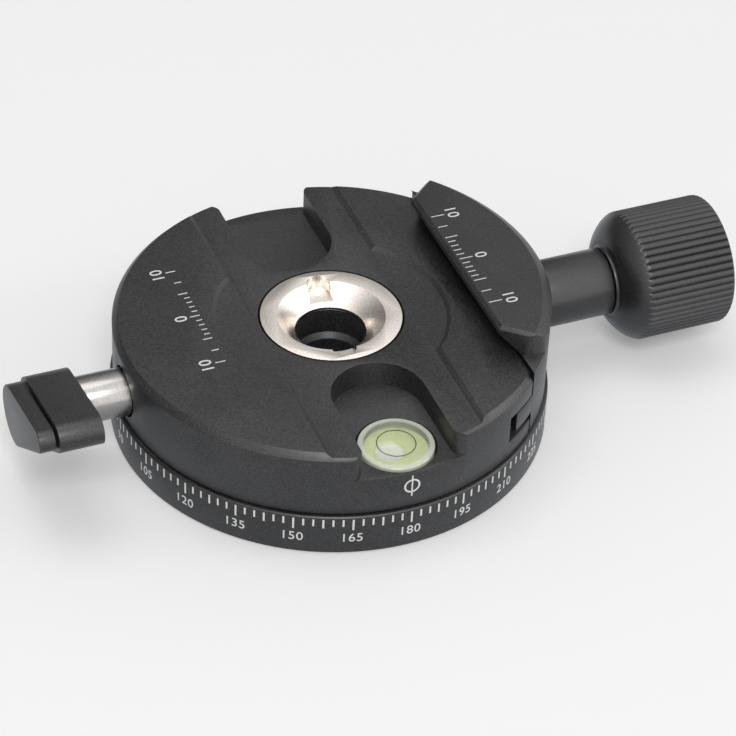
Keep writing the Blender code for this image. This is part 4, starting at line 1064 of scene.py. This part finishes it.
# %% Lock shaft
SPIGOT_R = 0.0021
SHAFT_END = -lever_high.x - SEAT_GAP
SHOULDER_X = 0.0238
LEVER_SCREW_R = 0.0014
hole_end = -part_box("lever_screw")[1].x - SEAT_GAP
shaft = lathe(
    "lock_shaft_turned",
    [
        (0, hole_end), (LEVER_SCREW_R, hole_end), (LEVER_SCREW_R, -shaft_low.x), (SPIGOT_R, -shaft_low.x),
        (SPIGOT_R, SHAFT_END), (SHAFT_R, SHAFT_END), (SHAFT_R, SHOULDER_X), (SPIGOT_R, SHOULDER_X),
        (SPIGOT_R, -shaft_high.x), (0, -shaft_high.x),
    ],
    ROUND,
    LOCK_AXIS,
)
soften(shaft, 0.0002, 2)
dress(shaft, "lever", shaft_steel_shaded, ["lock_shaft"])

# %% [markdown]
# ## Lever and cap
# Seen from the end, the lever is a teardrop: a big round about the shaft, a small one at
# its tip, and the two straight lines that touch both. The same outline, drawn a little
# smaller, makes the cap.

# %% Lever and cap
BIG_R = 0.0047
NOSE_R = 0.0021
REACH = 0.0128
LEVER_HEADING = math.pi - math.radians(23.6)
CAP_INSET = 0.0005
END_VIEW = Matrix.Translation((0, 0, LOCK_Z)) @ Matrix.Rotation(math.pi / 2, 4, "Z") @ SIDE_VIEW


def teardrop(inset):
    """Two round ends and the straight sides that touch both."""
    spread = math.acos((BIG_R - NOSE_R) / REACH)
    nose = (REACH * math.cos(LEVER_HEADING), REACH * math.sin(LEVER_HEADING))
    back = arc((0, 0), BIG_R - inset, LEVER_HEADING + spread, LEVER_HEADING + math.tau - spread, SMALL)
    return back + arc(nose, NOSE_R - inset, LEVER_HEADING - spread, LEVER_HEADING + spread, SMALL // 2)


lever = prism("lock_lever_milled", teardrop(0), lever_low.x, lever_high.x, END_VIEW)
screw_head_low, screw_head_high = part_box("lever_screw")
recess_r = (screw_head_high.y - screw_head_low.y) / 2 + SEAT_GAP
bore = rod("bore", SPIGOT_R + SEAT_GAP, SHAFT_END, -lever_low.x + OVERRUN, ROUND, LOCK_AXIS)
recess = rod("recess", recess_r, -shaft_low.x + SEAT_GAP, -lever_low.x + OVERRUN, ROUND, LOCK_AXIS)
carve(lever, [bore, recess])
soften(lever, 0.00025, 3)
dress(lever, "lever", anodised, ["lock_lever"])

cap_back = lever_low.x - SEAT_GAP
cap = prism("lever_cap_milled", teardrop(CAP_INSET), cap_low.x, cap_back, END_VIEW)
soften(cap, 0.00018, 3)
dress(cap, "lever", anodised, ["lever_cap"])

# %% [markdown]
# ## Pieces that stay as they are
# Screws, washers, pins and springs are hidden or show only through a gap. Their solids
# already have the right shape, so they only take a finish.

# %% Finish the hidden pieces
FINISHES = {
    "clamp_screw": screw_steel, "screw_clip": screw_steel, "knob_end_screw": screw_steel, "screw_bush": screw_steel,
    "jaw_pin_front": screw_steel, "jaw_pin_rear": screw_steel, "jaw_spring_front": screw_steel,
    "jaw_spring_rear": screw_steel, "lever_screw": screw_steel, "spindle_washer": washer_steel, "lock_bush": brass,
    "friction_washer": nylon, "knob_washer": nylon, "brake_pad": nylon,
}
for name, material in FINISHES.items():
    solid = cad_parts[name]
    solid.data.materials.clear()
    solid.data.materials.append(material)
print("finished in place:", len(FINISHES))

# %% [markdown]
# ## Floor, light and background
# The photograph has a bare white ground. The floor is pale and keeps the shadow, and the
# world is white where the camera looks at it, but gives only a plain level of light.

# %% Floor
FLOOR_HALF = 1.5
WHITE = (1, 1, 1, 1)
COOL = (0.72, 0.82, 1, 1)
PALE = (0.86, 0.86, 0.86, 1)
GLOW = 0.20
bm = bmesh.new()
bmesh.ops.create_grid(bm, x_segments=1, y_segments=1, size=FLOOR_HALF)
floor = object_from(bm, "floor")
floor_white, tree, shader = new_material("floor_white", roughness=0.7)
shader.inputs["Base Color"].default_value = PALE
path = node(tree, "LightPath")
tint = node(tree, "MixRGB", {"Fac": path.outputs["Is Glossy Ray"], "Color1": WHITE, "Color2": COOL})
seen = sums(tree, "MAXIMUM", path.outputs["Is Camera Ray"], path.outputs["Is Glossy Ray"])
tree.links.new(tint.outputs["Color"], shader.inputs["Emission Color"])
tree.links.new(sums(tree, "MULTIPLY", seen, GLOW), shader.inputs["Emission Strength"])
floor.data.materials.append(floor_white)
print("floor is", floor.dimensions.x, "m wide")

# %% [markdown]
# ## World
# A picture of a studio could light the scene, but a plain level of light with a soft
# gradient in the reflections is enough, and it is made of a few nodes. The Light Path node
# tells which ray is asking: the camera sees white, glossy metal sees the gradient, and
# everything else gets the plain level.

# %% World
world = bpy.data.worlds.new("studio")
bpy.context.scene.world = world
world.use_nodes = True
tree = world.node_tree
path = node(tree, "LightPath")
gloss = sums(tree, "MAXIMUM", path.outputs["Is Glossy Ray"], path.outputs["Is Transmission Ray"])
shown = sums(tree, "MAXIMUM", path.outputs["Is Camera Ray"], gloss)
AMBIENT = 0.40
DARKEST, SPAN, FALLOFF = 0.20, 2.1, 1.4
BRIGHT_SIDE = (0.30, -0.74, 0.60)
direction = node(tree, "TexCoord").outputs["Generated"]
facing = node(tree, "VectorMath", {0: direction, 1: BRIGHT_SIDE}, operation="DOT_PRODUCT").outputs["Value"]
share = node(tree, "MapRange", {"Value": facing, "From Min": -0.6, "From Max": 0.85})
swell = sums(tree, "POWER", share.outputs["Result"], FALLOFF)
gradient = sums(tree, "ADD", sums(tree, "MULTIPLY", swell, SPAN), DARKEST)
camera_level = sums(tree, "MAXIMUM", path.outputs["Is Camera Ray"], path.outputs["Is Transmission Ray"])
gloss_level = sums(tree, "MULTIPLY", path.outputs["Is Glossy Ray"], gradient)
plain = sums(tree, "MULTIPLY", sums(tree, "SUBTRACT", 1.0, shown), AMBIENT)
level = sums(tree, "ADD", sums(tree, "ADD", camera_level, gloss_level), plain)
background = tree.nodes["Background"]
background.inputs["Color"].default_value = WHITE
tree.links.new(level, background.inputs["Strength"])
print("reflections are brightest towards", BRIGHT_SIDE)

# %% [markdown]
# ## Lamps
# Three square lamps give the soft shadow and the bright edges. The broad one above makes
# the shadow, the front one lights the bevels that face the camera, and the weak one at the
# side lights the knob.

# %% Lamps
def softbox(name, place, size, power):
    """A square lamp that faces the clamp."""
    lamp = bpy.data.lights.new(name, "AREA")
    lamp.shape = "SQUARE"
    lamp.size = size
    lamp.energy = power
    thing = bpy.data.objects.new(name, lamp)
    bpy.context.scene.collection.objects.link(thing)
    towards = Vector((0, 0, BASE_TOP)) - Vector(place)
    thing.matrix_world = Matrix.Translation(place) @ towards.to_track_quat("-Z", "Y").to_matrix().to_4x4()
    print("lamp", name, "at", place)


softbox("key", (-0.10, 0.15, 0.80), 0.4, 1.0)
softbox("front", (-0.18, -0.62, 0.78), 0.3, 3.0)
softbox("side", (0.80, -0.30, 0.42), 0.25, 0.8)

# %% [markdown]
# ## Camera
# The camera was solved from the round edges of the clamp: it looks down by about forty
# degrees, a little from the lever's side, through a long lens.

# %% Set the camera
RIGHT = Vector((0.92856, -0.36934, 0.03696))
UP = Vector((0.20927, 0.60314, 0.76969))
BACK = Vector((-0.30657, -0.70697, 0.63734))
PLACE = Vector((-0.12084, -0.29197, 0.26826))
lens = bpy.data.cameras.new("camera")
lens.lens = 146.74
lens.sensor_width = 36
lens.clip_start = 0.01
camera = bpy.data.objects.new("camera", lens)
bpy.context.scene.collection.objects.link(camera)
turn = Matrix((RIGHT, UP, BACK)).transposed().to_4x4()
camera.matrix_world = Matrix.Translation(PLACE) @ turn
bpy.context.scene.camera = camera
bpy.context.scene.view_settings.view_transform = "Standard"
print("camera at", [round(c, 4) for c in PLACE])
